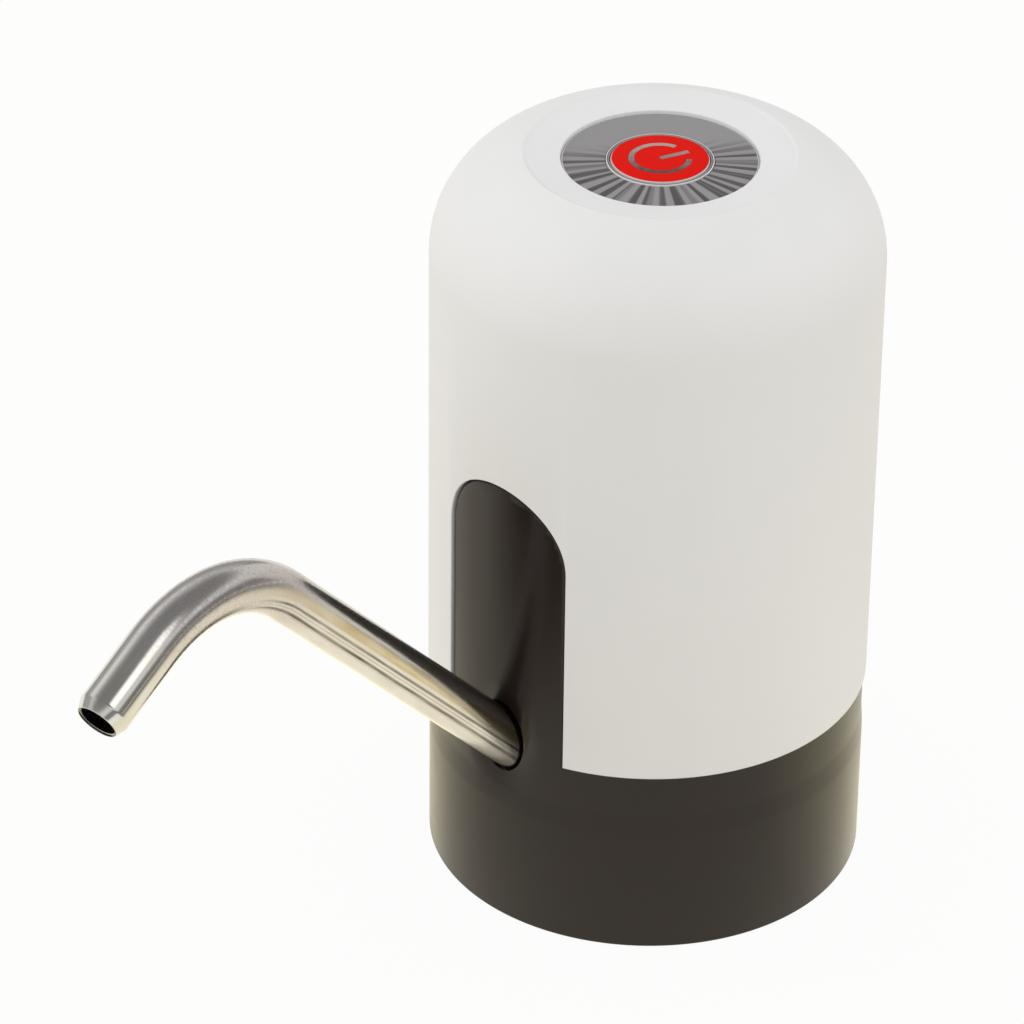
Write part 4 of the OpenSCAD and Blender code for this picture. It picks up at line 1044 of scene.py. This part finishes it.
@dataclass
class Base:
    """The dark base: skirt, band, arched pad, dished spout mouth, neck socket and inner posts."""

    body: BodySizes
    seat: SpoutSeat
    skirt_r: float = 36.3
    skirt_in: float = 34.2
    foot_round: float = 0.4
    skirt_round: float = 0.3
    band_z: float = 22.0
    band_run: float = 4.0
    band_round: float = 14.0
    band_rings: tuple[tuple[int, float], ...] = ((40, 0.5), (20, 2.0))
    ring_in: float = 32.4
    ring_z: float = 36.6
    ring_root: float = 30.0
    ring_slope: float = 1.8
    ring_gap: float = 0.3
    neck_r: float = 27.75
    neck_round: float = 0.4
    neck_land: float = 8.0
    neck_relief: float = 0.5
    neck_out: float = 30.05
    rib_count: int = 12
    rib_w: float = 1.6
    rib_gap: float = 0.02
    web_count: int = 12
    web_t: float = 1.4
    web_z: float = 4.0
    boss_r: float = 3.1
    boss_bore: float = 2.1
    screw_gap: float = 0.15
    column_hole: float = 2.7
    pad_half: float = 12.2
    pad_round: float = 0.35
    pad_flare: float = 1.3
    pad_flare_at: float = 0.12
    pad_turns: tuple[float, ...] = (0.0, 15.0, 30.0, 45.0, 60.0, 75.0)
    pad_reach: Pair = (-6.0, 14.0)
    pad_drop: float = 2.0
    tongue_half: float = 15.5
    tongue_top: float = 87.0
    tongue_inside: float = 20.0
    tongue_reach: Pair = (18.0, 44.0)
    tongue_lap: float = 0.2
    seam_slope: float = 0.3
    dish_skin: float = 0.5
    dish_depth: float = 1.4
    dish_half: Pair = (8.5, 11.0)
    mouth_gap: float = 0.45
    mouth_ease: tuple[Pair, ...] = ((0.0, -0.08), (0.024, -0.024), (0.08, 0.0), (0.16, 0.08))
    mouth_past: float = 12.0
    mouth_land: float = 1.4
    run_fit: float = 0.08
    groove_z: float = 6.9
    groove_t: float = 1.4
    bore_sides: int = 96
    sump_r: float = 3.0
    sump_len: float = 5.0
    socket_r: float = 6.7
    socket_len: float = 16.0
    socket_sides: int = 64
    port_t: float = 12.0
    port_r: float = 1.7
    barb_r: float = 2.6
    barb_reach: float = 14.3
    post_x: float = 20.0
    post_y: float = -5.0
    post_r: float = 3.2
    post_top: float = 56.0
    post_bore: float = 13.0
    board_post_r: float = 2.4
    board_posts: tuple[Pair, ...] = ((-5.0, 17.5), (12.0, 24.97))
    board_z: float = 40.4
    board_bore: float = 10.0
    spigot_hole: float = 4.7
    seal_r: float = 8.0
    seal_t: float = 0.9

    @property
    def ring_out(self) -> float:
        """Outer radius of the locating ring inside the shell."""
        return self.body.shell_in - self.ring_gap

    def section(self) -> list[Corner]:
        """Section of the base, with the band drawn up to the tongue's full height."""
        b = self.body
        under, top = b.neck_depth, self.tongue_top
        seal_z = b.floor_z - self.seal_t
        relief = self.neck_r + self.neck_relief
        band, z = [], self.band_z + self.band_run
        for count, gap in self.band_rings:
            band += [(b.band_r, z + gap * i) for i in range(1, count + 1)]
            z += count * gap
        return [
            (self.spigot_hole, under),
            (relief, under),
            (relief, self.neck_land),
            (self.neck_r, self.neck_land),
            (self.neck_r, 0.0, self.neck_round),
            (self.neck_out, 0.0, self.neck_round),
            (self.neck_out, under),
            (self.skirt_in, under),
            (self.skirt_in, 0.0, self.skirt_round),
            (self.skirt_r, 0.0, self.foot_round),
            (self.skirt_r, self.band_z, self.band_round),
            (b.band_r, self.band_z + self.band_run, self.band_round),
            *band,
            (b.band_r, top),
            (self.ring_in, top),
            (self.ring_in, self.ring_root),
            (self.skirt_in, self.ring_root - self.ring_slope),
            (self.skirt_in, b.floor_z),
            (self.seal_r, b.floor_z),
            (self.seal_r, seal_z),
            (self.spigot_hole, seal_z),
        ]

    def dish(self, x: float, z: float) -> float:
        """Depth of the soft dish round the spout's mouth at a place on the band."""
        across, up = x / self.dish_half[0], (z - self.seat.mouth[2]) / self.dish_half[1]
        share = max(0.0, 1 - across**2 - up**2)
        return self.dish_depth * share**2

    def press_dish(self, piece: Piece) -> None:
        """Presses the soft dish into the band and pad."""
        outside = (self.body.band_r - self.dish_skin) * MM
        for vertex in piece.data.vertices:
            reach = math.hypot(vertex.co.x, vertex.co.y)
            if vertex.co.y < 0 and reach > outside:
                share = 1 - self.dish(vertex.co.x / MM, vertex.co.z / MM) * MM / reach
                vertex.co.x *= share
                vertex.co.y *= share

    def pad(self) -> Piece:
        """The pad that fills the window, with a rounded rim, as a solid through the band."""
        b = self.body
        foot, flare = b.seam_z - self.pad_drop, self.pad_flare * self.pad_round
        inside, outside = self.pad_reach
        steps = [(0.0, self.ring_in + inside), *eased(b.band_r, self.pad_round, self.pad_turns)]
        steps += [(flare, b.band_r + self.pad_flare_at), (flare, b.band_r + outside)]
        rings = [arch_ring(self.pad_half - draw, foot, reach, b.window_z) for draw, reach in steps]
        return loft("pad_form", rings)

    def cut_to_tongue(self, piece: Piece) -> None:
        """Takes the drawn-up band away beside the pad and the tongue behind it."""
        b = self.body
        top, wide, low = self.tongue_top + 5 * PAST, 60.0, b.seam_z - self.seam_slope
        outer = [
            (self.ring_out, b.seam_z),
            (b.band_r - self.tongue_lap, b.seam_z),
            (b.band_r + self.seam_slope, low),
            (wide, low),
            (wide, top),
            (self.ring_out, top),
        ]
        beside = revolve("beside_pad", outer)
        cut(beside, self.pad())
        cut(piece, beside)
        inside, outside = self.tongue_inside, self.ring_out + self.tongue_lap
        inner = [(inside, self.ring_z), (outside, self.ring_z), (outside, top), (inside, top)]
        behind = revolve("beside_tongue", inner)
        foot = b.seam_z - self.pad_drop
        rings = [arch_ring(self.tongue_half, foot, reach, b.window_z) for reach in self.tongue_reach]
        cut(behind, loft("tongue_form", rings))
        cut(piece, behind)

    def mouth_reach(self, radius: float, angle: float) -> float:
        """Distance along the spout's axis at which a line beside it meets the dished band.

        Args:
            radius: Distance of the line from the axis.
            angle: Direction of the line from the axis, in radians.

        Returns:
            The distance from the mouth's middle, in millimetres.
        """
        frame = self.seat.frame()
        low, high, halvings = -8.0, 20.0, 40
        for _ in range(halvings):
            middle = (low + high) / 2
            local = Vector((radius * math.cos(angle), radius * math.sin(angle), middle)) * MM
            point = (frame @ local) / MM
            outside = math.hypot(point.x, point.y) > self.body.band_r - self.dish(point.x, point.z)
            low, high = (low, middle) if outside else (middle, high)
        return (low + high) / 2

    def spout_bore(self) -> Piece:
        """The cutter of the spout's socket: sump, running bore, seal groove and mouth with an eased edge."""
        seat, sides = self.seat, self.bore_sides
        run, mouth, groove = seat.tube_r + self.run_fit, seat.tube_r + self.mouth_gap, seat.tube_r + self.groove_t
        low, high = -self.groove_z - self.groove_t, -self.groove_z
        angles = [TURN * i / sides for i in range(sides)]
        land = high + self.mouth_land
        steps = [(-seat.depth - self.sump_len, self.sump_r), (-seat.depth, self.sump_r), (-seat.depth, run)]
        steps += [(low, run), (low, groove), (high, groove), (high, run), (land, run), (land, mouth)]
        rings = [[Vector((r * math.cos(a), r * math.sin(a), t)) for a in angles] for t, r in steps]
        for grow, lift in (*self.mouth_ease, (self.mouth_ease[-1][0], self.mouth_past)):
            radius = mouth + grow
            reaches = [self.mouth_reach(radius, a) + lift for a in angles]
            rings.append([Vector((radius * math.cos(a), radius * math.sin(a), t)) for a, t in zip(angles, reaches)])
        piece = loft("spout_bore", rings)
        piece.data.transform(seat.frame())
        return piece

    def add_socket(self, piece: Piece) -> None:
        """Adds the spout's socket with its hose barb, and bores them."""
        seat = self.seat.frame()
        socket = rod(self.socket_r, -self.socket_len, 0.0, seat, self.socket_sides)
        across = seat @ moved(z=-self.port_t) @ Matrix.Rotation(-math.pi / 2, 4, "X")
        add(socket, rod(self.barb_r, 0.0, self.barb_reach, across))
        low, high, reach = self.body.neck_depth, self.tongue_top, self.ring_out - LAP / 2
        room = [(0, low), (reach, low), (reach, high), (0, high)]
        combine(socket, revolve("socket_room", room, self.bore_sides), Joining.KEEP)
        add(piece, socket)
        cut(piece, self.spout_bore())
        cut(piece, rod(self.port_r, 0.0, self.barb_reach + PAST, across))

    def add_underside(self, piece: Piece) -> None:
        """Adds the webs, screw bosses and grip ribs under the floor."""
        b = self.body
        for i in range(self.web_count):
            low = (self.neck_out - LAP, -self.web_t / 2, self.web_z)
            high = (self.skirt_in + LAP, self.web_t / 2, b.neck_depth + LAP)
            add(piece, block(low, high, turned(360 * i / self.web_count)))
        for i in range(self.rib_count):
            low = (self.neck_r + self.rib_gap, -self.rib_w / 2, self.neck_land - LAP)
            high = (self.neck_r + self.neck_relief + LAP, self.rib_w / 2, b.neck_depth + LAP)
            add(piece, block(low, high, turned(360 * (i + 0.5) / self.rib_count)))
        for az in b.column_az:
            place = turned(az, b.column_d)
            add(piece, rod(self.boss_r, self.web_z, b.neck_depth + LAP, place))
            cut(piece, rod(self.boss_bore, self.web_z - PAST, b.neck_depth, place))
            cut(piece, rod(b.screw_r + self.screw_gap, b.neck_depth - PAST, b.floor_z + PAST, place))
            cut(piece, rod(self.column_hole, b.floor_z, self.ring_z + PAST, place))

    def add_posts(self, piece: Piece) -> None:
        """Adds the posts of the pump and the main board, with their pilot holes."""
        b = self.body
        foot = b.floor_z - LAP
        for side in (-1, 1):
            place = moved(side * self.post_x, self.post_y)
            add(piece, rod(self.post_r, foot, self.post_top, place))
            ends = sorted((side * self.post_x, side * (self.skirt_in + LAP)))
            low = (ends[0], self.post_y - self.web_t / 2, foot)
            high = (ends[1], self.post_y + self.web_t / 2, self.ring_root)
            add(piece, block(low, high))
            cut(piece, rod(b.pilot_r, self.post_top - self.post_bore, self.post_top + PAST, place))
        for x, y in self.board_posts:
            add(piece, rod(self.board_post_r, foot, self.board_z, moved(x, y)))
            cut(piece, rod(b.pilot_r, self.board_z - self.board_bore, self.board_z + PAST, moved(x, y)))

    def build(self, shelf: FinishShelf) -> None:
        """Builds and dresses the base."""
        piece = revolve("dark_base", self.section())
        self.press_dish(piece)
        self.cut_to_tongue(piece)
        self.add_underside(piece)
        self.add_posts(piece)
        self.add_socket(piece)
        shelf.dress(piece, "housing", "dark_base", "base_housing")


@dataclass
class Spout:
    """The bent stainless spout with its rolled-in lip."""

    RUN = "straight_run"

    seat: SpoutSeat
    wall: float = 0.5
    run: float = 70.0
    bend_r: float = 26.0
    bend: float = 71.5
    nose: float = 12.4
    tip: float = 1.9
    tip_in: float = 0.75
    tip_round: float = 1.0
    rim_round: float = 0.2
    seat_gap: float = 0.05
    sides: int = 96
    run_steps: int = 24
    bend_steps: int = 48
    nose_steps: int = 6

    def nose_way(self) -> Vector:
        """Direction of the nose in the spout's own frame."""
        turn = math.radians(self.bend)
        return Vector((0, -math.sin(turn), math.cos(turn)))

    def straightened(self, point: Vector) -> Vector:
        """Where a point of the tube would lie if its bend were straight.

        Args:
            point: A point in the spout's own frame, in millimetres.

        Returns:
            The point's place across the tube, and along it as Z.
        """
        if point.z <= self.run:
            return point.copy()
        y, z = point.y + self.bend_r, point.z - self.run
        turn = min(math.atan2(z, y), math.radians(self.bend))
        out, way = Vector((math.cos(turn), math.sin(turn))), Vector((-math.sin(turn), math.cos(turn)))
        flat = Vector((y, z))
        return Vector((point.x, flat.dot(out) - self.bend_r, self.run + self.bend_r * turn + flat.dot(way)))

    def tip_section(self) -> list[Vector]:
        """Distance past the nose and radius along the drawn-in tip."""
        r = self.seat.tube_r
        outline = [
            (-self.nose, 0.0),
            (-self.nose, r),
            (0.0, r, self.tip_round),
            (self.tip, r - self.tip_in, self.rim_round),
            (self.tip, 0.0),
        ]
        return rounded(outline)[2:-1]

    def extrude(self, way: Vector, steps: int) -> None:
        """Extrudes the open end along a way, in equal steps, in edit mode."""
        for _ in range(steps):
            bpy.ops.mesh.extrude_region_move(TRANSFORM_OT_translate={"value": way * (MM / steps)})

    def build(self, shelf: FinishShelf) -> None:
        """Builds and dresses the spout."""
        seat, turn = self.seat, math.radians(self.bend)
        select_only(None)
        bpy.ops.mesh.primitive_circle_add(vertices=self.sides, radius=seat.tube_r * MM, fill_type="NOTHING")
        piece = bpy.context.object
        piece.name = "steel_spout"
        end = Vector((0, -self.bend_r, self.run)) + self.bend_r * Vector((0, math.cos(turn), math.sin(turn)))
        tip = self.tip_section()
        along = tip[0].x
        with editing(piece):
            bpy.ops.transform.translate(value=(0, 0, (self.seat_gap - seat.depth) * MM))
            self.extrude(Vector((0, 0, self.run + seat.depth - self.seat_gap)), self.run_steps)
            centre = (0, -self.bend_r * MM, self.run * MM)
            bpy.ops.mesh.spin(steps=self.bend_steps, angle=turn, center=centre, axis=(-1, 0, 0))
            self.extrude((self.nose + along) * self.nose_way(), self.nose_steps)
            for here, ahead in zip(tip, tip[1:]):
                self.extrude((ahead.x - here.x) * self.nose_way(), 1)
                centre = end + (self.nose + ahead.x) * self.nose_way()
                bpy.ops.transform.resize(value=[ahead.y / here.y] * 3, center_override=centre * MM)
            bpy.ops.mesh.select_all(action="SELECT")
            bpy.ops.mesh.remove_doubles(threshold=WELD)
            bpy.ops.mesh.normals_make_consistent(inside=False)
        select_only(piece)
        wall = piece.modifiers.new("wall", "SOLIDIFY")
        wall.thickness, wall.offset, wall.use_even_offset = self.wall * MM, -1, True
        bpy.ops.object.modifier_apply(modifier=wall.name)
        run = piece.data.attributes.new(self.RUN, "FLOAT_VECTOR", "POINT")
        for vertex in piece.data.vertices:
            run.data[vertex.index].vector = self.straightened(vertex.co / MM) * MM
        piece.data.transform(seat.frame() @ Matrix.Rotation(math.radians(seat.turn), 4, "Z"))
        shelf.dress(piece, "spout", "stainless_tube", "spout_tube")


@dataclass
class TopPanel:
    """The label, light ring and button in the dished top."""

    body: BodySizes
    label_r: float = 15.6
    label_edge: float = 0.16
    ring_in: float = 8.05
    ring_out: float = 8.6
    ring_rise: float = 0.15
    ring_flange: float = 10.0
    flange_t: float = 1.1
    ridge_share: float = 0.3
    ridge_round: float = 0.1
    groove_depth: float = 0.22
    groove_draft: float = 0.06
    groove_round: float = 0.04
    button_r: float = 7.9
    button_rise: float = 0.35
    button_edge: float = 0.4
    button_wall: float = 1.4
    button_top: float = 1.8
    lug_r: float = 8.75
    lug_gap: float = 0.1
    stem_r: float = 2.25
    symbol_r: float = 4.6
    symbol_w: float = 0.9
    symbol_open: float = 62.0
    symbol_az: float = 70.0
    symbol_t: float = 0.3
    symbol_gap: float = 0.04
    symbol_steps: int = 72
    bar_round: float = 0.12

    @property
    def button_z(self) -> float:
        """Height of the button's face."""
        return self.body.label_z + self.button_rise

    @property
    def lug_z(self) -> float:
        """Height of the button's lower edge."""
        return self.body.ceiling_z - 2 * self.flange_t - self.lug_gap

    def label(self, shelf: FinishShelf) -> None:
        """Builds the silver label with a fine rolled edge."""
        b = self.body
        section = [
            (b.light_hole, b.roof_z),
            (self.label_r, b.roof_z),
            (self.label_r, b.label_z, self.label_edge),
            (b.light_hole, b.label_z, self.label_edge),
        ]
        piece = revolve("silver_label", section)
        shelf.dress(piece, "housing", "label_silver", "label_plate")

    def light_ring(self, shelf: FinishShelf) -> None:
        """Builds the clear ring with two fine ridges and a groove between them."""
        b = self.body
        top, low = b.label_z + self.ring_rise, b.ceiling_z - self.flange_t
        edge, foot = self.ridge_round, self.groove_round
        ridge = (self.ring_out - self.ring_in) * self.ridge_share
        groove = top - self.groove_depth
        draft = ridge + self.groove_draft
        section = [
            (self.ring_in, low),
            (self.ring_flange, low),
            (self.ring_flange, b.ceiling_z),
            (self.ring_out, b.ceiling_z),
            (self.ring_out, top, edge),
            (self.ring_out - ridge, top, edge),
            (self.ring_out - draft, groove, foot),
            (self.ring_in + draft, groove, foot),
            (self.ring_in + ridge, top, edge),
            (self.ring_in, top, edge),
        ]
        piece = revolve("clear_light_ring", section, FINE_STEPS)
        shelf.dress(piece, "housing", "clear_ring", "light_ring")

    def symbol_outlines(self, grow: float) -> list[list[Vector]]:
        """Outlines of the power symbol's open ring and bar, each grown by a margin."""
        half, r = self.symbol_w / 2 + grow, self.symbol_r
        slack = math.degrees(grow / r)
        start, end = self.symbol_open / 2 - slack, 360 - self.symbol_open / 2 + slack
        steps, edge = self.symbol_steps, self.bar_round
        ring = arc((0, 0), r + half, start, end, steps) + arc((0, 0), r - half, end, start, steps)
        bar = [(-grow, -half, edge), (r + half, -half, edge), (r + half, half, edge), (-grow, half, edge)]
        return [rounded(ring), rounded(bar, 3)]

    def symbol_solids(self, grow: float, low: float, high: float) -> list[Piece]:
        """Solids of the power symbol between two heights."""
        place = turned(self.symbol_az) @ moved(z=low)
        return [prism("power_mark", outline, high - low, place) for outline in self.symbol_outlines(grow)]

    def button(self, shelf: FinishShelf) -> None:
        """Builds the red button with its lug and stem, and the pocket of its symbol."""
        top, low = self.button_z, self.lug_z
        section = [
            (0.0, low),
            (self.stem_r, low),
            (self.stem_r, top - self.button_top),
            (self.button_r - self.button_wall, top - self.button_top),
            (self.button_r - self.button_wall, low),
            (self.lug_r, low),
            (self.lug_r, low + self.flange_t),
            (self.button_r, low + self.flange_t),
            (self.button_r, top, self.button_edge),
            (0.0, top),
        ]
        piece = revolve("red_button", section, FINE_STEPS)
        for pocket in self.symbol_solids(self.symbol_gap, top - self.symbol_t, top + PAST):
            cut(piece, pocket)
        shelf.dress(piece, "button", "button_red", "button_cap")

    def symbol(self, shelf: FinishShelf) -> None:
        """Builds the inlaid power symbol."""
        piece, bar = self.symbol_solids(0.0, self.button_z - self.symbol_t, self.button_z)
        add(piece, bar)
        piece.name = "silver_power_symbol"
        shelf.dress(piece, "button", "symbol_silver", "power_symbol")

    def build(self, shelf: FinishShelf) -> None:
        """Builds and dresses the whole panel."""
        self.label(shelf)
        self.light_ring(shelf)
        self.button(shelf)
        self.symbol(shelf)


@dataclass
class ChargePort:
    """The charging socket's rounded metal shell and the tongue inside it."""

    body: BodySizes
    width: float = 7.6
    height: float = 2.7
    length: float = 5.6
    wall: float = 0.3
    corner: float = 0.7
    mouth_y: float = 35.6
    tongue: tuple[float, float, float] = (5.0, 4.3, 0.6)
    tongue_round: float = 0.2

    def build(self, shelf: FinishShelf) -> None:
        """Builds and dresses the socket and its tongue."""
        face = inwards(self.mouth_y, self.body.usb_z)
        outline = round_rectangle(self.width, self.height, self.corner)
        piece = prism("port_shell", outline, self.length, face)
        inner = round_rectangle(self.width - 2 * self.wall, self.height - 2 * self.wall, self.corner - self.wall)
        cut(piece, prism("port_room", inner, self.length + PAST - self.wall, face @ moved(z=-PAST)))
        shelf.dress(piece, "housing", "motor_steel", "usb_socket")
        width, length, thick = self.tongue
        inside = face @ moved(z=self.length - self.wall) @ Matrix.Rotation(math.pi, 4, "X")
        piece = prism("port_tongue", round_rectangle(width, thick, self.tongue_round), length, inside)
        shelf.dress(piece, "housing", "dark_plastic", "usb_tongue")


class InnerWorks:
    """The solids that stay as they are: screws, seals, pump, motor, battery, boards and leads."""

    def __init__(self, frame: dict) -> None:
        """Keeps the frame's nodes and the slot of each."""
        self.nodes = frame["nodes"]
        self.slots = {part["node"]: part["material_slot"] for part in frame["record"]["subparts"]}

    def dress(self, shelf: FinishShelf) -> None:
        """Gives each solid that still shows its finish."""
        for name, node in self.nodes.items():
            if node.hide_render:
                continue
            for slot in node.material_slots:
                slot.material = shelf.get(self.slots[name])
            LOG.info("%s: finish %s", name, self.slots[name])


# Studio


@dataclass(frozen=True)
class Card:
    """An oval soft-edged card on the floor, seen only in gloss, as beside a photographer's table."""

    name: str
    at: Pair
    half: Pair
    turn: float
    colour: Colour
    lift: float
    soft: float = 0.6

    def build(self) -> None:
        """Lays the card on the floor."""
        select_only(None)
        bpy.ops.mesh.primitive_plane_add(size=2)
        card = bpy.context.object
        card.name = self.name
        place = moved(*self.at, self.lift) @ turned(self.turn)
        card.matrix_world = place @ Matrix.Diagonal((self.half[0] * MM, self.half[1] * MM, 1, 1))
        shader = Shader(self.name)
        middle = shader.node("TexGradient", {"Vector": shader.place()}, gradient_type="SPHERICAL").outputs["Fac"]
        share = shader.between(middle, 0, 1, 0, self.soft)
        clear = shader.node("BsdfTransparent").outputs[0]
        tint = shader.node("Emission", {"Color": (*self.colour, 1)}).outputs[0]
        shader.replace(shader.layer(share, clear, tint))
        card.data.materials.append(shader.material)
        card.visible_camera = card.visible_diffuse = card.visible_shadow = card.visible_transmission = False


CARDS = (
    Card("card_back", (1000, 560), (970, 800), 29, (0.18, 0.16, 0.11), 0.12, 0.3),
    Card("card_warm", (0, 0), (420, 420), 0, (0.97, 0.91, 0.76), 0.1),
    Card("card_left", (-62, -22), (52, 48), 0, (1.25, 1.16, 0.85), 0.15),
    Card("card_right", (52, 48), (50, 50), 0, (1.35, 1.24, 0.92), 0.2),
    Card("card_spout", (-30, -178), (105, 95), 0, (0.03, 0.025, 0.02), 0.3),
)


@dataclass(frozen=True)
class SoftBox:
    """A round soft box that lights the pump from one side, out of sight of its gloss."""

    name: str
    turn: float
    height: float
    light: float
    reach: float = 1.4
    size: float = 0.9

    def build(self) -> None:
        """Hangs the lamp and aims it at the pump."""
        data = bpy.data.lights.new(self.name, "AREA")
        data.shape, data.size = "DISK", self.size
        data.energy = self.light * (math.pi * self.reach) ** 2
        lamp = bpy.data.objects.new(self.name, data)
        level = Matrix.Rotation(math.radians(self.turn), 3, "Z") @ Matrix.Rotation(math.radians(-self.height), 3, "Y")
        lamp.location = level @ Vector((self.reach, 0, 0))
        lamp.rotation_euler = (-lamp.location).to_track_quat("-Z", "Y").to_euler()
        lamp.visible_glossy = False
        bpy.context.scene.collection.objects.link(lamp)


LAMPS = (
    SoftBox("key_box", -62, 60, 0.09),
    SoftBox("left_box", -150, 18, 0.18),
    SoftBox("right_box", 47, 8, 0.15),
)


@dataclass
class Studio:
    """A white floor under three soft boxes and an even surround, and the camera at the photograph's place.

    What gloss shows of the surround goes from the horizon up, as the height in degrees and level of each band: bands
    of light and shade on the right and behind, and a plain light on the left, under a dim ceiling.
    """

    camera_at: tuple[float, float, float] = (0.50451, -0.57225, 0.53951)
    camera_turn: tuple[float, float, float] = (57.9129, -0.5131, 43.4348)
    lens: float = 192.69
    sensor: float = 36.0
    clip: Pair = (0.01, 50.0)
    floor_size: float = 12.0
    floor_drop: float = 0.0001
    floor_tone: Colour = (0.71, 0.67, 0.585)
    floor_lift: float = 0.95
    surround: float = 0.87
    bands: tuple[Pair, ...] = ((0, 0.2), (15, 0.2), (19, 0.75), (29, 0.75), (36, 0.24), (45, 0.22))
    plain: tuple[Pair, ...] = ((0, 0.35), (26, 0.4), (34, 0.8), (47, 0.75), (60, 0.45), (72, 0.26))
    left_edge: Pair = (-0.7, -0.2)
    box_turn: float = 8.0
    box_height: float = 47.0
    box_half: float = 12.5
    box_soft: float = 4.0
    box_light: float = 1.3

    def camera(self) -> None:
        """Places the camera."""
        data = bpy.data.cameras.new("camera")
        data.sensor_width, data.lens = self.sensor, self.lens
        data.clip_start, data.clip_end = self.clip
        camera = bpy.data.objects.new("camera", data)
        camera.location = self.camera_at
        camera.rotation_euler = [math.radians(a) for a in self.camera_turn]
        bpy.context.scene.collection.objects.link(camera)
        bpy.context.scene.camera = camera

    def box_way(self) -> Vector:
        """Direction of the soft box that shows in gloss."""
        turn, height = math.radians(self.box_turn), math.radians(self.box_height)
        return Vector((math.cos(turn) * math.cos(height), math.sin(turn) * math.cos(height), math.sin(height)))

    def levels(self, room: Nodes, height: Socket, stops: Sequence[Pair]) -> Socket:
        """Levels of light at heights in degrees, as a ramp from the horizon to the zenith."""
        ramp = room.node("ValToRGB", {"Fac": height})
        ramp.color_ramp.elements.remove(ramp.color_ramp.elements[1])
        ramp.color_ramp.elements[0].position = stops[0][0] / 90
        for degrees, _ in stops[1:]:
            ramp.color_ramp.elements.new(degrees / 90)
        for stop, (_, level) in zip(ramp.color_ramp.elements, stops):
            stop.color = (level, level, level, 1)
        return ramp.outputs["Color"]

    def world(self) -> None:
        """White to the camera, an even light, and bands of light and shade with one soft box in gloss."""
        world = bpy.data.worlds.new("surround")
        bpy.context.scene.world = world
        world.use_nodes = True
        room = Nodes(world.node_tree)
        way = room.node("TexCoord").outputs["Generated"]
        height = room.between(room.maths("ARCSINE", room.part(way, "Z")), 0, 1, 0, math.pi / 2)
        right = room.between(room.part(way, "X"), 0, 1, *self.left_edge)
        plain, bands = (self.levels(room, height, stops) for stops in (self.plain, self.bands))
        near = room.node("VectorMath", {0: way, 1: self.box_way()}, operation="DOT_PRODUCT").outputs["Value"]
        edges = [math.cos(math.radians(self.box_half + soft)) for soft in (self.box_soft, -self.box_soft)]
        box = room.between(near, 0, self.box_light, *edges)
        seen = room.mix(1.0, room.mix(right, plain, bands), box, blend_type="ADD")
        gloss = room.node("Background", {"Color": seen}).outputs[0]
        light = room.node("Background", {"Color": (1, 1, 1, 1), "Strength": self.surround}).outputs[0]
        white = room.node("Background", {"Color": (1, 1, 1, 1)}).outputs[0]
        path = room.node("LightPath").outputs
        mirrored = room.maths("MAXIMUM", path["Is Glossy Ray"], path["Is Transmission Ray"])
        mix = room.layer(path["Is Camera Ray"], room.layer(mirrored, light, gloss), white)
        world.node_tree.links.new(mix, world.node_tree.nodes["World Output"].inputs["Surface"])

    def floor(self) -> None:
        """A white floor that keeps the pump's shadow and shows white to the camera and in gloss."""
        select_only(None)
        bpy.ops.mesh.primitive_plane_add(size=self.floor_size, location=(0, 0, -self.floor_drop))
        floor = bpy.context.object
        floor.name = "white_floor"
        shader = Shader("white_floor")
        paint = shader.node("BsdfDiffuse", {"Color": (*self.floor_tone, 1)}).outputs[0]
        path = shader.node("LightPath").outputs
        seen = shader.maths("MAXIMUM", path["Is Glossy Ray"], path["Is Transmission Ray"])
        seen = shader.times(shader.maths("MAXIMUM", seen, path["Is Camera Ray"]), self.floor_lift)
        white = shader.node("Emission").outputs[0]
        shader.replace(shader.layer(seen, paint, white))
        floor.data.materials.append(shader.material)

    def build(self) -> None:
        """Sets the whole studio."""
        bpy.context.scene.view_settings.view_transform = "Standard"
        self.camera()
        self.world()
        self.floor()
        for thing in (*CARDS, *LAMPS):
            thing.build()


def main() -> None:
    """Builds and dresses the pump round its frame."""
    logging.basicConfig(level=logging.INFO, format="%(name)s %(message)s")
    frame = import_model()
    shelf = FinishShelf()
    body, seat = BodySizes(), SpoutSeat()
    Shell(body).build(shelf)
    Base(body, seat).build(shelf)
    Spout(seat).build(shelf)
    TopPanel(body).build(shelf)
    ChargePort(body).build(shelf)
    InnerWorks(frame).dress(shelf)
    Studio().build()


if __name__ == "__main__":
    main()
